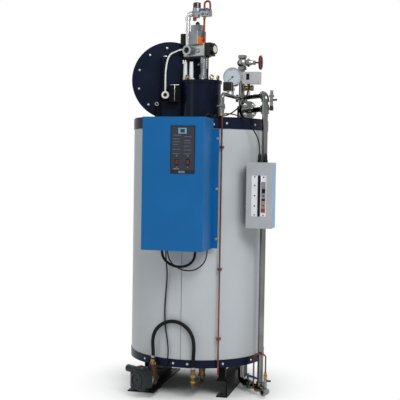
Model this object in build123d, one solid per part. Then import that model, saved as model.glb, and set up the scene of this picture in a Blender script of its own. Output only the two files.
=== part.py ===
"""Small vertical once-through steam boiler with its gas burner, fittings and feed pump.

Millimetres, +Z up, origin on the floor under the axis of the boiler, control box facing -Y.
"""
from build123d import *
import os
from math import cos, hypot, radians, sin, sqrt, tan

os.makedirs("parts", exist_ok=True)

# Fits
FIT = 0.3                   # clearance between curved faces that meet

# Body: jacketed vertical shell on two channel skids
BODY_RADIUS = 400.0         # outside of the jacket sheet
JACKET_SHEET = 2.0
BASE_HEIGHT = 178.0         # underside of the base ring
SHELL_HEIGHT = 1412.0       # from there to the upper edge of the top band
RING_HEIGHT = 46.0          # navy strip at the foot of the jacket
BAND_HEIGHT = 60.0          # navy strip at its top
STRIP_SHEET = 3.0           # rolled strip outside the jacket
FLANGE_PLATE = 6.0          # flanges and end plates
FLANGE_WIDTH = 83.3         # flange inwards from the outside of its strip
SEAM_WIDTH = 3.0
SEAM_DEPTH = 0.8

# Skids
SKID_INNER = 188.0          # distance from the axis to the open side of a channel
SKID_WIDTH = 64.0
SKID_HEIGHT = 100.0
SKID_WALL = 7.0
SKID_SETBACK = 98.0         # the ends stop this far inside the front and back of the jacket
POST_WIDTH = 40.0
POST_DEPTH = 36.0
ANCHOR_HOLE = 18.0
ANCHOR_INSET = 24.0         # from the open side of the channel
ANCHOR_END = 48.0           # from the end of the channel

# Flue outlet at the back
FLUE_RADIUS = 90.0
FLUE_WALL = 3.0
FLUE_DROP = 250.0           # axis below the upper edge of the top band
FLUE_LENGTH = 80.0          # outside the jacket
FLUE_COLLAR = 14.0
FLUE_DAMPER = 3.0           # plate that closes the inner end of the spigot

# Burner drum on the top plate
DRUM_RADIUS = 115.0
DRUM_WALL = 4.0
DRUM_HEIGHT = 225.0
DRUM_RIM = 6.0              # rim and foot stand out this far
DRUM_RIM_HEIGHT = 10.0
COVER_PLATE = 8.0
COVER_BOSS_RADIUS = 34.0
COVER_BOSS_HEIGHT = 11.0

# Combustion air blower, turned towards the drum; heights are above the top plate
BLOWER_PLACE = (-212.0, 57.0)
BLOWER_TURN = 20.0          # degrees from facing the front
BLOWER_PLATE_RADIUS = 236.0
BLOWER_PLATE = 5.0
BLOWER_CLEARANCE = 5.0      # under the rim of the side plate
CASING_STEP = 12.0          # the side plate stands out this far round the casing
CASING_DEPTH = 110.0
CASING_EDGE = 10.0
STAND_LEFT = -90.0
STAND_RIGHT = 120.0
STAND_DEPTH = 70.0
MOTOR_RADIUS = 72.0
MOTOR_LENGTH = 150.0
COWL_LENGTH = 46.0
MOTOR_FINS = 9
FIN_DEPTH = 5.0
DUCT_LEFT = -54.0
DUCT_RIGHT = 145.0
DUCT_HEIGHT = 384.0
DUCT_DEPTH = 60.0
TRANSFORMER_LEFT = -18.0
TRANSFORMER_WIDTH = 63.0
TRANSFORMER_RISE = 101.0
TRANSFORMER_HEIGHT = 104.0
TRANSFORMER_DEPTH = 86.0
TRANSFORMER_EDGE = 4.0
TAP_X = -42.0
TAP_RISE = 142.0
TAP_PIPE_RADIUS = 15.0
TAP_PIPE_LENGTH = 88.0
TAP_RING_RADIUS = 22.0
TAP_RING_WIDTH = 14.0
TAP_HOLE_RADIUS = 12.0
SIGNAL_TUBE = 10.0
TUBE_LEAD = 40.0            # level run into the gas valve
TUBE_STRAIGHT = 0.5         # share of the rise that goes straight up
TUBE_SHOULDER = 0.84        # share of the rise at the shoulder
TUBE_LEAN = 0.2             # share of the way across at the shoulder

# Gas train above the drum, turned a little to the left
GAS_AXIS = (7.0, 2.0)       # outlet pipe over the burner
GAS_TURN = -18.0
GAS_OUTLET_LENGTH = 129.0   # from the boss on the cover to the valve body
OUTLET_RADIUS = 18.0
OUTLET_NUT_RADIUS = 27.0
OUTLET_NUT_HEIGHT = 26.0
OUTLET_RIBS = 5
OUTLET_RIB_RADIUS = 22.0
OUTLET_RIB_HEIGHT = 7.0
OUTLET_RIB_PITCH = 13.0
GAS_BODY_LEFT = -118.0
GAS_BODY_RIGHT = 30.0
GAS_BODY_HALF_DEPTH = 38.0
GAS_BODY_HEIGHT = 76.0
GAS_BODY_ROUND = 14.0
GAS_FLANGE = 8.0            # thickness of the end flange that carries the switch
GAS_FLANGE_OVER = 4.0
GAS_INLET_X = -76.0
GAS_INLET_RISE = 40.0
GAS_INLET_REACH = 72.0
GAS_INLET_RADIUS = 25.0
GAS_INLET_RING = 29.0
GAS_INLET_RING_WIDTH = 16.0
GAS_INLET_BORE = 18.0
GAS_INLET_DEPTH = 40.0
ACTUATOR_X = -45.0
ACTUATOR_TURN = -13.0       # on the valve body
ACTUATOR_WIDTH = 76.0
ACTUATOR_HEIGHT = 80.0
ACTUATOR_EDGE = 4.0
ACTUATOR_CAP_WIDTH = 58.0
ACTUATOR_CAP_HEIGHT = 39.0
ACTUATOR_KNOB_RADIUS = 10.0
ACTUATOR_KNOB_HEIGHT = 17.0
RISER_X = -104.0
RISER_Y = -16.0
RISER_RADIUS = 13.45
ELBOW_RADIUS = 17.5
PILOT_RISE = 187.0          # pilot line above the valve body
REGULATOR_X = -42.0
REGULATOR_RADIUS = 26.0
REGULATOR_BELOW = 26.0
REGULATOR_FOOT_RADIUS = 18.0
REGULATOR_BOWL_RADIUS = 21.0
REGULATOR_RIM_RISE = 12.0
REGULATOR_RIM_HEIGHT = 18.0
REGULATOR_GROOVE = 3.0
REGULATOR_CAP_RADIUS = 24.0
REGULATOR_CAP_HEIGHT = 31.0
REGULATOR_CAP_EDGE = 4.0
PILOT_BOSS_RADIUS = 15.0
PILOT_BLOCK_LEFT = -10.0
PILOT_BLOCK_RIGHT = 52.0
PILOT_BLOCK_BELOW = 22.0
PILOT_BLOCK_HEIGHT = 31.0
PILOT_BLOCK_FRONT = -34.0
PILOT_BLOCK_BACK = 6.0
PILOT_CAP_RADIUS = 9.0
PILOT_CAP_HEIGHT = 16.0
PILOT_TUBE = 12.0
PILOT_LOOP_LEFT = 4.0
PILOT_LOOP_WIDTH = 40.0
PILOT_LOOP_HEIGHT = 62.0    # above the pilot block
PILOT_LOOP_FLAT = 1.0       # straight piece left between the two bends
PILOT_TUBE_Y = -4.0
TEST_PLUG_RADIUS = 11.0
TEST_PLUG_LENGTH = 42.0
GAS_SWITCH_LENGTH = 34.0
GAS_SWITCH_COVER = 16.0
GAS_SWITCH_HALF_DEPTH = 30.0
GAS_SWITCH_RISE = 7.0       # above the underside of the valve body
GAS_SWITCH_HEIGHT = 77.0
AIR_SWITCH_X = -152.0
AIR_SWITCH_Y = 14.0
AIR_SWITCH_RADIUS = 20.0
AIR_SWITCH_CLEAR = 7.0      # above the top of the valve body
AIR_SWITCH_HEIGHT = 68.0
AIR_SWITCH_NECK = 9.0
BOOT_PLACES = [(-92.0, -46.0), (-52.0, -58.0)]
BOOT_RADIUS = 14.0
BOOT_TOP_RADIUS = 10.0
BOOT_LENGTH = 108.0

# Steam outlet at the right of the top plate, and the level column beside the jacket
STEAM_AXIS = (240.0, 27.0)
COLUMN_OFFSET = 60.0        # column axis outside the jacket
COLUMN_ANGLE = 66.2         # degrees from the front towards the right
STEAM_PIPE_RADIUS = 17.0
STEAM_FOOT_RADIUS = 44.0
STEAM_FOOT = 12.0
NOZZLE_CLEARANCE = 3.5      # under the nozzle flanges
NOZZLE_RADIUS = 26.0
NOZZLE_OFFSET = 80.0        # from the steam axis to the meeting faces of the flanges
NOZZLE_FLANGE_RADIUS = 52.5
NOZZLE_FLANGE = 14.0
STUB_RADIUS = 17.0
BALANCE_RISE = 76.0         # balance pipe above the nozzle
BALANCE_RADIUS = 13.45
MANIFOLD_RADIUS = 36.0      # cross on the riser where the two side pipes start
MANIFOLD_OVER = 18.0
STEAM_RISE = 167.0          # foot of the stop valve above the balance pipe
VALVE_RISE = 43.0           # spindle above the foot of the valve
VALVE_HEIGHT = 87.0
VALVE_HEX_RADIUS = 26.0
VALVE_HEX_HEIGHT = 18.0
VALVE_GLOBE_RADIUS = 31.0
VALVE_BORE = 13.0
VALVE_BORE_DEPTH = 26.0
BONNET_NUT_RADIUS = 25.0
BONNET_NUT_START = 32.0
BONNET_NUT_END = 44.0
BONNET_RADIUS = 19.0
BONNET_TIP_RADIUS = 11.0
BONNET_END = 68.0
GLAND_RADIUS = 13.0
GLAND_END = 80.0
SPINDLE_RADIUS = 5.0
SPINDLE_DEPTH = 16.0
WHEEL_RADIUS = 43.0
WHEEL_RIM_WIDTH = 10.0
WHEEL_RIM_DEPTH = 14.0
WHEEL_RIM_EDGE = 2.5
WHEEL_OFFSET = 111.0
WHEEL_HUB_RADIUS = 10.0
WHEEL_HUB_LENGTH = 20.0
WHEEL_WEB = 5.0
WHEEL_WINDOWS = 5
WHEEL_WINDOW_RADIUS = 8.0
SCALLOPS = 10
SCALLOP_RADIUS = 6.0
SCALLOP_BITE = 2.5

# Pressure instruments; places are distances along the gauge line from the steam axis
GAUGE_LINE_RISE = 70.0      # above the nozzle
GAUGE_LINE_RADIUS = 11.0
GAUGE_LINE_ANGLE = 29.8     # end of the line, degrees from the front towards the right
GAUGE_LINE_OFFSET = 25.0    # end of the line outside the jacket
GAUGE_LINE_BEND = 24.0
GAUGE_PLACE = 194.5
GAUGE_RADIUS = 55.0
GAUGE_DEPTH = 36.0
GAUGE_RIM = 6.0
GAUGE_RECESS = 5.0
GAUGE_RISE = 111.0
GAUGE_STEM_RADIUS = 8.0
GAUGE_NUT_RADIUS = 13.0
GAUGE_NUT_HEIGHT = 14.0
LIMIT_PLACE = 290.0
LIMIT_WIDTH = 50.0
LIMIT_HEIGHT = 50.0
LIMIT_DEPTH = 40.0
LIMIT_RISE = 24.0
NEEDLE_DROP = 71.0
NEEDLE_RADIUS = 15.0
NEEDLE_NUT_DROP = 122.0
TEE_HANDLE_REACH = 40.0
TEE_HANDLE_LENGTH = 42.0
SWITCH_OFFSET = 82.0        # along the balance pipe from the steam axis
SWITCH_WIDTH = 106.0
SWITCH_DEPTH = 56.0
SWITCH_RISE = 77.0          # above the balance pipe
SWITCH_HEIGHT = 70.0
SWITCH_SIDE_SHIFT = 18.0
CROSS_RISE = 54.0
CROSS_RADIUS = 14.0
CROSS_REACH = 30.0
SWITCH_STEM_RADIUS = 10.0
DRAIN_LINE = 9.0            # thin copper tube down the jacket
DRAIN_LINE_OVER = 32.0      # it ends this far below the base ring
CLIP_DROP = 170.0           # uppermost clip below the upper edge of the top band
CLIP_RISES = [162.0, 556.0]  # the others above the underside of the base ring
CLIP_HEIGHT = 12.0
CLIP_WIDTH = 16.0

# Level column and its control box
COLUMN_RADIUS = 17.0
LINE_HEIGHT = 40.0          # axis of the blow-down line above the floor
FITTING_RADIUS = 22.0
BRANCH_RADIUS = 20.0        # side arms of the tees, a little slimmer than their bodies
BEAD = 3.0                  # bead round the mouths of the fittings
BEAD_LENGTH = 6.0
TEE_HALF = 30.0
COLUMN_BEND = 26.0
LEVEL_BOX_WIDTH = 145.0
LEVEL_BOX_DEPTH = 130.0
LEVEL_BOX_STANDOFF = 20.0   # in front of the column axis
LEVEL_BOX_DROP = 246.0      # below the upper edge of the top band
LEVEL_BOX_HEIGHT = 368.0
LEVEL_BOX_SHEET = 2.0
CLAMP_HALF_WIDTH = 26.0
CLAMP_HEIGHT = 24.0
CLAMP_INSET = 32.0
WINDOW_WIDTH = 84.0
WINDOW_HEIGHT = 229.0
WINDOW_RISE = 67.0
SCALE_MARGIN = 6.0
SCALE_PLATE = 4.0
SIGHT_RADIUS = 6.0
GLAND_OFFSETS = (-17.0, 18.0)
GLAND_FRONT = 54.0          # in front of the column axis
GLAND_HEIGHT = 52.0
GLAND_NUT_HEIGHT = 16.0
GLAND_DOME_START = 36.0
LEVEL_GLAND_RADIUS = 12.0
GLAND_BODY_RADIUS = 9.6
GLAND_TIP_RADIUS = 6.0
TRY_COCK_OFFSET = 36.0
TRY_COCK_RADIUS = 9.0
TRY_COCK_RISE = 103.0       # above the nozzle
TRY_COCK_FOOT = 12.0        # the body reaches this far below its nipple
TRY_NIPPLE_RADIUS = 7.0
TRY_NUT_RADIUS = 14.0
TRY_NUT_RISE = 64.0
TRY_NUT_HEIGHT = 14.0
TRY_LEVER_RISE = 48.0

# Control box on the front of the jacket
CONTROL_HALF_WIDTH = 172.5
CONTROL_DEPTH = 217.0
CONTROL_DROP = 9.0          # below the upper edge of the top band
CONTROL_HEIGHT = 721.0
CONTROL_SHEET = 2.0
CONTROL_ROUND = 7.0
BACK_HALF_WIDTH = 205.0
BACK_GAP = 4.0              # under the top band
BACK_HEIGHT = 664.0
BACK_PLATE = 3.0
BACK_STANDOFF = 4.0         # from the front of the jacket to the back plate
BRACKET_X = 150.0
BRACKET_WIDTH = 24.0
PANEL_LEFT = -12.0
PANEL_WIDTH = 136.0
PANEL_DROP = 47.0           # below the top of the box
PANEL_HEIGHT = 258.0
PANEL_SHEET = 2.0
DISPLAY_INSET = 43.0        # from the left of the panel
DISPLAY_DROP = 13.0         # below the top of the panel
DISPLAY_WIDTH = 46.0
DISPLAY_HEIGHT = 31.0
DISPLAY_FRAME = 1.5
ROCKER_INSETS = {"power_rocker": 36.0, "heat_rocker": 97.0}
ROCKER_RISE = 62.0          # above the foot of the panel
ROCKER_WIDTH = 12.0
ROCKER_LENGTH = 22.0
ROCKER_DEPTH = 9.0
ROCKER_PIVOT = 3.0          # pivot this far behind the front of the bezel
ROCKER_TILT = 8.0           # each face leans this far from flat
ROCKER_SIDE_GAP = 0.5
ROCKER_END_GAP = 1.5
BEZEL_WIDTH = 19.0
BEZEL_LENGTH = 33.0
BEZEL_PROUD = 2.0

# Small levers of the cocks
LEVER_LENGTH = 34.0
LEVER_WIDTH = 8.0
LEVER_SHEET = 4.0
LEVER_GAP = 5.0
COCK_BOSS_RADIUS = 6.0

# Blow-down line under the level column; rises are above its axis
BLOW_ANGLE = 45.0           # the line runs this far from the right towards the front
BLOW_NOZZLE = 200.0         # from the column back to the nozzle under the boiler
BLOW_BEND = 40.0
BLOW_VALVE = 122.0          # from the column back to the middle of the ball valve
BLOW_BALL_RADIUS = 27.0
BLOW_BALL_HALF = 20.0
BLOW_HEX_RADIUS = 25.0
BLOW_VALVE_HALF = 36.0
BLOW_STEM_RADIUS = 7.0
BLOW_STEM_RISE = 48.0
BLOW_LEVER_LENGTH = 94.0
BLOW_LEVER_WIDTH = 18.0
BLOW_LEVER_SHEET = 6.0
BLOW_LEVER_HUB = 11.0
DRAIN_REACH = 85.0
DRAIN_TURN = 45.0
DRAIN_BEND = 27.0
DRAIN_BORE = 13.0
DRAIN_BORE_DEPTH = 30.0
DRAIN_COCK_OFFSET = 52.0
DRAIN_COCK_RADIUS = 10.0
DRAIN_COCK_RISE = 91.0
DRAIN_LEVER_RISE = 60.0
BYPASS = 9.0
BYPASS_RISE = 207.0
BYPASS_SIDE = 46.0
BYPASS_BEND = 18.0

# Feed pump on a bracket at the front end of the left skid; fronts are before the front of the jacket
PUMP_X = -236.0             # middle of the motor's front
PUMP_FRONT = 66.0
PUMP_AXIS_HEIGHT = 103.0
PUMP_ANGLE = 59.0           # shaft from the right towards the back
PUMP_FRAME_HALF = 54.0
PUMP_FRAME_LENGTH = 73.0
PUMP_FRAME_ROUND = 20.0
PUMP_SHIELD_RADIUS = 46.0
PUMP_SHIELD_STEP = 34.0
PUMP_SHIELD = 10.0
PUMP_BOSS_RADIUS = 9.0
PUMP_FOOT_HALF = 40.0
PUMP_FOOT_INSET = 12.0
TERMINAL_HALF = 32.0
TERMINAL_INSET = 12.0
TERMINAL_HEIGHT = 18.0
TERMINAL_ENTRY = 18.0       # cable entry to the left of the shaft
CAPACITOR_RADIUS = 21.0
CAPACITOR_RISE = 48.0
CAPACITOR_INSET = 32.0
CAPACITOR_REACH = 112.0
PUMP_HEAD_RADIUS = 50.0
PUMP_HEAD_LENGTH = 52.0
PUMP_HEAD_EDGE = 8.0
DISCHARGE_X = -161.0
DISCHARGE_SETBACK = 3.0     # behind the front of the jacket
DISCHARGE_NECK_RADIUS = 23.0
DISCHARGE_NECK_TOP = 186.0
DISCHARGE_NUT_RADIUS = 19.0
DISCHARGE_NUT_HEIGHT = 14.0
DISCHARGE_RADIUS = 13.0
DISCHARGE_TOP = 222.0
SUCTION_RADIUS = 19.0
SUCTION_BORE = 11.0
SUCTION_REACH = 30.0
SUCTION_DEPTH = 24.0
BRACKET_PLATE = 6.0
BRACKET_TOP = 41.0
BRACKET_TAB = 20.0          # from the skid end forward to the front of the tab
BRACKET_LEFT = -292.0
BRACKET_RIGHT = -136.0
BRACKET_FRONT = 58.0

# Feed line from the hose to the nozzle under the boiler
FEED_HOSE = 21.0
FEED_PIPE_RADIUS = 10.0
FEED_STEM_X = 78.0
FEED_STEM_FRONT = 12.0
FEED_STEM_TOP = 174.0
FEED_LINE_HEIGHT = 74.0
FEED_ENTRY_X = 92.0
FEED_ENTRY_SETBACK = 145.0
FEED_BEND = 22.0
CHECK_RADIUS = 18.0
CHECK_NUT_RADIUS = 21.0
CHECK_NUT_HEIGHT = 12.0
CHECK_BOTTOM = 104.0
CHECK_TOP = 152.0
HOSE_SLEEVE_RADIUS = 13.5
HOSE_SLEEVE = 22.0

# Hose and cables: diameters, and the points between their ends. Each point is a place in x, a distance
# behind the front of the jacket, and a height above the mark that is named with it.
BUNDLE = 15.0
LOOP_CABLE = 7.0
PUMP_CABLE = 8.0
LEVEL_CABLE = 7.0
SWITCH_CABLE = 8.0
BEND_SHARE = 0.45           # of the shorter of two runs, given up to the bend between them
HOSE_ROUTE = [              # top of the pump's discharge
    (-161, 3, 42), (-165, -3, 100), (-150, -9, 161), (-104, -14, 206), (-42, -17, 224),
    (21, -18, 206), (67, -18, 160), (84, -16, 96), (78, -12, 10)]
BUNDLE_ROUTE = [            # underside of the control box, ends included
    (-95, -78, 0), (-95, -78, -32), (-80, -74, -68), (-42, -67, -96), (8, -59, -106),
    (56, -53, -92), (84, -49, -60), (89, -48, -24), (89, -48, 0)]
LOOP_ROUTE = [              # underside of the control box, ends included
    (-70, -52, 0), (-70, -52, -42), (-46, -47, -90), (6, -42, -122), (68, -39, -128),
    (122, -37, -100), (154, -36, -50), (154, -36, 0)]
PUMP_ROUTE = [              # upper part, underside of the control box, start included
    (-86, -30, 0), (-86, -30, -60), (-80, -10, -144), (-90, 2, -248), (-98, 4, -358)]
PUMP_ROUTE_LOW = [          # lower part, underside of the base ring
    (-92, 2, 222), (-74, -4, 140), (-68, -10, 76), (-72, -14, 34), (-86, -8, 0),
    (-112, 22, -20), (-150, 48, -22)]
PUMP_LEAD = 40.0            # straight run into the terminal box
LEVEL_ROUTE = [             # upper edge of the top band, with degrees from the front instead of x
    (20.6, -31, -42), (22.8, -12, -4), (27.6, 3, 20), (35.4, 10, 26), (43.8, -2, 20),
    (50.5, -28, -10), (55.8, -52, -70)]
LEVEL_START = (150.0, -30.0, -54.0)
LEVEL_LEAD = 60.0           # straight run into the gland
SWITCH_START = (7.0, -21.0)  # from the stem of the pressure switch
SWITCH_LEAD = 37.0
SWITCH_ROUTE = [            # top plate, with distances from the steam axis
    (44, -117, 116), (6, -157, 54), (-44, -197, 16), (-88, -263, 8), (-110, -331, 10)]
SWITCH_ROUTE_LOW = [        # upper edge of the top band, end included
    (124, 40, 22), (122, 9, 4), (122, 2, -28), (122, -20, -50)]

# Heights and faces that follow from the sizes above
RING_FLOOR = BASE_HEIGHT + FLANGE_PLATE
TOP_HEIGHT = BASE_HEIGHT + SHELL_HEIGHT
BAND_BOTTOM = TOP_HEIGHT - BAND_HEIGHT
BAND_FLANGE = TOP_HEIGHT - FLANGE_PLATE
PLATE_TOP = TOP_HEIGHT + FLANGE_PLATE
PLATE_RADIUS = BODY_RADIUS - JACKET_SHEET - FIT
STRIP_INNER = BODY_RADIUS + FIT
STRIP_OUTER = STRIP_INNER + STRIP_SHEET
SKID_HALF_LENGTH = BODY_RADIUS - SKID_SETBACK
DRUM_TOP = PLATE_TOP + DRUM_HEIGHT
COVER_TOP = DRUM_TOP + COVER_PLATE
BOSS_TOP = COVER_TOP + COVER_BOSS_HEIGHT
BLOWER_HEIGHT = PLATE_TOP + BLOWER_PLATE_RADIUS + BLOWER_CLEARANCE
CASING_RADIUS = BLOWER_PLATE_RADIUS - CASING_STEP
GAS_BOTTOM = BOSS_TOP + GAS_OUTLET_LENGTH
GAS_TOP = GAS_BOTTOM + GAS_BODY_HEIGHT
GAS_INLET_HEIGHT = GAS_BOTTOM + GAS_INLET_RISE
PILOT_HEIGHT = GAS_TOP + PILOT_RISE
NOZZLE_HEIGHT = PLATE_TOP + NOZZLE_FLANGE_RADIUS + NOZZLE_CLEARANCE
GAUGE_LINE_HEIGHT = NOZZLE_HEIGHT + GAUGE_LINE_RISE
BALANCE_HEIGHT = NOZZLE_HEIGHT + BALANCE_RISE
VALVE_FOOT = BALANCE_HEIGHT + STEAM_RISE
SWITCH_BOTTOM = BALANCE_HEIGHT + SWITCH_RISE
LEVEL_BOX_TOP = TOP_HEIGHT - LEVEL_BOX_DROP
LEVEL_BOX_BOTTOM = LEVEL_BOX_TOP - LEVEL_BOX_HEIGHT
BACK_REAR = -BODY_RADIUS - BACK_STANDOFF
BACK_FRONT = BACK_REAR - BACK_PLATE
BACK_TOP = BAND_BOTTOM - BACK_GAP
BACK_BOTTOM = BACK_TOP - BACK_HEIGHT
CONTROL_FRONT = BACK_FRONT - CONTROL_DEPTH
CONTROL_TOP = TOP_HEIGHT - CONTROL_DROP
CONTROL_BOTTOM = CONTROL_TOP - CONTROL_HEIGHT
PANEL_TOP = CONTROL_TOP - PANEL_DROP
PANEL_BOTTOM = PANEL_TOP - PANEL_HEIGHT
ROCKER_HEIGHT = PANEL_BOTTOM + ROCKER_RISE


def save(name, shape):
    """Write one piece, or several that share a node, as a STEP file."""
    export_step(shape, f"parts/{name}.step")


def block(left, right, front, back, bottom, top):
    """Box between six planes."""
    size = Box(right - left, back - front, top - bottom, align=(Align.MIN,) * 3)
    return Pos(left, front, bottom) * size


def disc(radius, bottom, top, at=(0, 0)):
    """Upright cylinder between two heights."""
    solid = Cylinder(radius, top - bottom, align=(Align.CENTER, Align.CENTER, Align.MIN))
    return Pos(at[0], at[1], bottom) * solid


def rod(start, end, radius):
    """Round bar between two points."""
    run = Vector(*end) - Vector(*start)
    bar = Cylinder(radius, run.length, align=(Align.CENTER, Align.CENTER, Align.MIN))
    return Plane(origin=start, z_dir=run) * bar


def turned(outline):
    """Solid of revolution about Z from a closed (radius, height) outline."""
    return revolve(Plane.XZ * make_face(Polyline(*outline, close=True)), axis=Axis.Z)


def hexagon(radius, bottom, top):
    """Six-sided nut or union about Z, radius across the corners."""
    return Pos(0, 0, bottom) * extrude(RegularPolygon(radius, 6), top - bottom)


def bent_pipe(points, radius, bend):
    """Round pipe along straight runs with tangent bends."""
    path = FilletPolyline(*points, radius=bend)
    return sweep((path ^ 0) * Circle(radius), path=path)


def widest_bends(points):
    """For each corner of a route, the radius that its two runs leave room for."""
    radii = []
    for before, corner, after in zip(points, points[1:], points[2:]):
        arriving = corner - before
        leaving = after - corner
        half_turn = radians(arriving.get_angle(leaving)) / 2
        radii.append(BEND_SHARE * min(arriving.length, leaving.length) / tan(half_turn))
    return radii


def around(angle, radius, height):
    """Point at an angle from the front, counted towards the right."""
    return (radius * sin(radians(angle)), -radius * cos(radians(angle)), height)


def solids(*pieces):
    """Several solids that do not touch, kept in one node."""
    return Compound([solid for piece in pieces for solid in piece.solids()])


def fused(first, *others):
    """One solid from pieces that run into each other."""
    whole = first
    for other in others:
        whole = whole + other
    return whole


# Skids: channel sections with the web outside and posts up to the base ring
def skid(side):
    web = SKID_INNER + SKID_WIDTH
    inside = web - SKID_WALL
    outline = [(SKID_INNER, 0), (web, 0), (web, SKID_HEIGHT), (SKID_INNER, SKID_HEIGHT),
               (SKID_INNER, SKID_HEIGHT - SKID_WALL), (inside, SKID_HEIGHT - SKID_WALL),
               (inside, SKID_WALL), (SKID_INNER, SKID_WALL)]
    section = make_face(Polyline(*[(side * x, z) for x, z in outline], close=True))
    channel = extrude(Plane.XZ * section, SKID_HALF_LENGTH, both=True)
    middle = side * (SKID_INNER + SKID_WIDTH / 2)
    anchor_x = side * (SKID_INNER + ANCHOR_INSET)
    for end in (-1, 1):
        far = end * SKID_HALF_LENGTH
        near = far - end * POST_DEPTH
        channel += block(middle - POST_WIDTH / 2, middle + POST_WIDTH / 2, min(near, far), max(near, far),
                         SKID_HEIGHT, BASE_HEIGHT)
        channel -= disc(ANCHOR_HOLE / 2, -SKID_WALL, 2 * SKID_WALL, (anchor_x, far - end * ANCHOR_END))
    return channel


save("left_skid", skid(-1))
save("right_skid", skid(1))


# Base ring and top band: rolled angles that hold the ends of the jacket
def rolled_angle(flange_bottom, strip_bottom, strip_top):
    flange_top = flange_bottom + FLANGE_PLATE
    flange = disc(STRIP_OUTER, flange_bottom, flange_top)
    flange -= disc(STRIP_OUTER - FLANGE_WIDTH, flange_bottom, flange_top)
    strip = disc(STRIP_OUTER, strip_bottom, strip_top) - disc(STRIP_INNER, strip_bottom, strip_top)
    return flange + strip


save("base_ring", rolled_angle(BASE_HEIGHT, BASE_HEIGHT, BASE_HEIGHT + RING_HEIGHT))
save("top_band", rolled_angle(BAND_FLANGE, BAND_BOTTOM, TOP_HEIGHT))
save("bottom_plate", disc(PLATE_RADIUS, RING_FLOOR, RING_FLOOR + FLANGE_PLATE))
save("top_plate", disc(PLATE_RADIUS, TOP_HEIGHT, PLATE_TOP))

# Jacket: rolled sheet with a butt seam at the front and back
jacket = disc(BODY_RADIUS, RING_FLOOR, BAND_FLANGE)
jacket -= disc(BODY_RADIUS - JACKET_SHEET, RING_FLOOR, BAND_FLANGE)
for seam_side in (-1, 1):
    seam_bed = seam_side * (BODY_RADIUS - SEAM_DEPTH)
    seam_out = seam_side * (BODY_RADIUS + SEAM_DEPTH)
    jacket -= block(-SEAM_WIDTH / 2, SEAM_WIDTH / 2, min(seam_bed, seam_out), max(seam_bed, seam_out),
                    RING_FLOOR, BAND_FLANGE)
save("jacket", jacket)

# Flue outlet: spigot with a rolled collar, cut to the round of the jacket and closed by its damper
flue_height = TOP_HEIGHT - FLUE_DROP
flue_end = BODY_RADIUS + FLUE_LENGTH
flue_start = sqrt(BODY_RADIUS ** 2 - FLUE_RADIUS ** 2) - FLUE_DAMPER
flue_bore = FLUE_RADIUS - FLUE_WALL
collar_radius = FLUE_RADIUS + FLUE_WALL
damper_front = BODY_RADIUS + FIT + FLUE_DAMPER
spigot = Plane(origin=(0, 0, flue_height), z_dir=(0, 1, 0)) * turned([
    (0, flue_start), (FLUE_RADIUS, flue_start), (FLUE_RADIUS, flue_end - FLUE_COLLAR),
    (collar_radius, flue_end - FLUE_COLLAR), (collar_radius, flue_end),
    (flue_bore, flue_end), (flue_bore, damper_front), (0, damper_front)])
save("flue_spigot", spigot - disc(BODY_RADIUS + FIT, flue_height - collar_radius,
                                  flue_height + collar_radius))

# Burner drum: flanged shell with a bolted cover that carries the gas train
drum_bore = DRUM_RADIUS - DRUM_WALL
drum_edge = DRUM_RADIUS + DRUM_RIM
save("burner_drum", turned([
    (drum_bore, PLATE_TOP), (drum_edge, PLATE_TOP), (drum_edge, PLATE_TOP + FLANGE_PLATE),
    (DRUM_RADIUS, PLATE_TOP + FLANGE_PLATE), (DRUM_RADIUS, DRUM_TOP - DRUM_RIM_HEIGHT),
    (drum_edge, DRUM_TOP - DRUM_RIM_HEIGHT), (drum_edge, DRUM_TOP), (drum_bore, DRUM_TOP)]))
save("burner_cover", disc(drum_edge, DRUM_TOP, COVER_TOP)
     + disc(COVER_BOSS_RADIUS, COVER_TOP, BOSS_TOP, GAS_AXIS))

# Blower: local x runs along the side plate, local y up from the top plate and local z out of the plate
blower = Plane(origin=(BLOWER_PLACE[0], BLOWER_PLACE[1], PLATE_TOP),
               x_dir=(cos(radians(BLOWER_TURN)), sin(radians(BLOWER_TURN)), 0),
               z_dir=(sin(radians(BLOWER_TURN)), -cos(radians(BLOWER_TURN)), 0))
wheel_centre = (0, BLOWER_HEIGHT - PLATE_TOP)
casing_back = -BLOWER_PLATE - CASING_DEPTH
save("blower_side_plate", blower * disc(BLOWER_PLATE_RADIUS, -BLOWER_PLATE, 0, wheel_centre))

casing = Pos(*wheel_centre, 0) * turned([
    (0, casing_back), (CASING_RADIUS - CASING_EDGE, casing_back), (CASING_RADIUS, casing_back + CASING_EDGE),
    (CASING_RADIUS, -BLOWER_PLATE), (0, -BLOWER_PLATE)])
stand_middle = -BLOWER_PLATE - CASING_DEPTH / 2
casing += block(STAND_LEFT, STAND_RIGHT, 0, wheel_centre[1] - CASING_RADIUS / 2,
                stand_middle - STAND_DEPTH / 2, stand_middle + STAND_DEPTH / 2)
save("blower_casing", blower * casing)

motor_back = casing_back - MOTOR_LENGTH
motor_profile = [(0, casing_back), (MOTOR_RADIUS, casing_back)]
fin_pitch = (MOTOR_LENGTH - COWL_LENGTH) / (2 * MOTOR_FINS + 1)
for groove in range(MOTOR_FINS):
    start = casing_back - (2 * groove + 1) * fin_pitch
    motor_profile += [(MOTOR_RADIUS, start), (MOTOR_RADIUS - FIN_DEPTH, start),
                      (MOTOR_RADIUS - FIN_DEPTH, start - fin_pitch), (MOTOR_RADIUS, start - fin_pitch)]
cowl_start = motor_back + COWL_LENGTH
motor_profile += [(MOTOR_RADIUS, cowl_start), (MOTOR_RADIUS + FIN_DEPTH, cowl_start),
                  (MOTOR_RADIUS + FIN_DEPTH, motor_back + FIN_DEPTH), (MOTOR_RADIUS, motor_back),
                  (0, motor_back)]
save("blower_motor", blower * Pos(*wheel_centre, 0) * turned(motor_profile))

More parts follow.
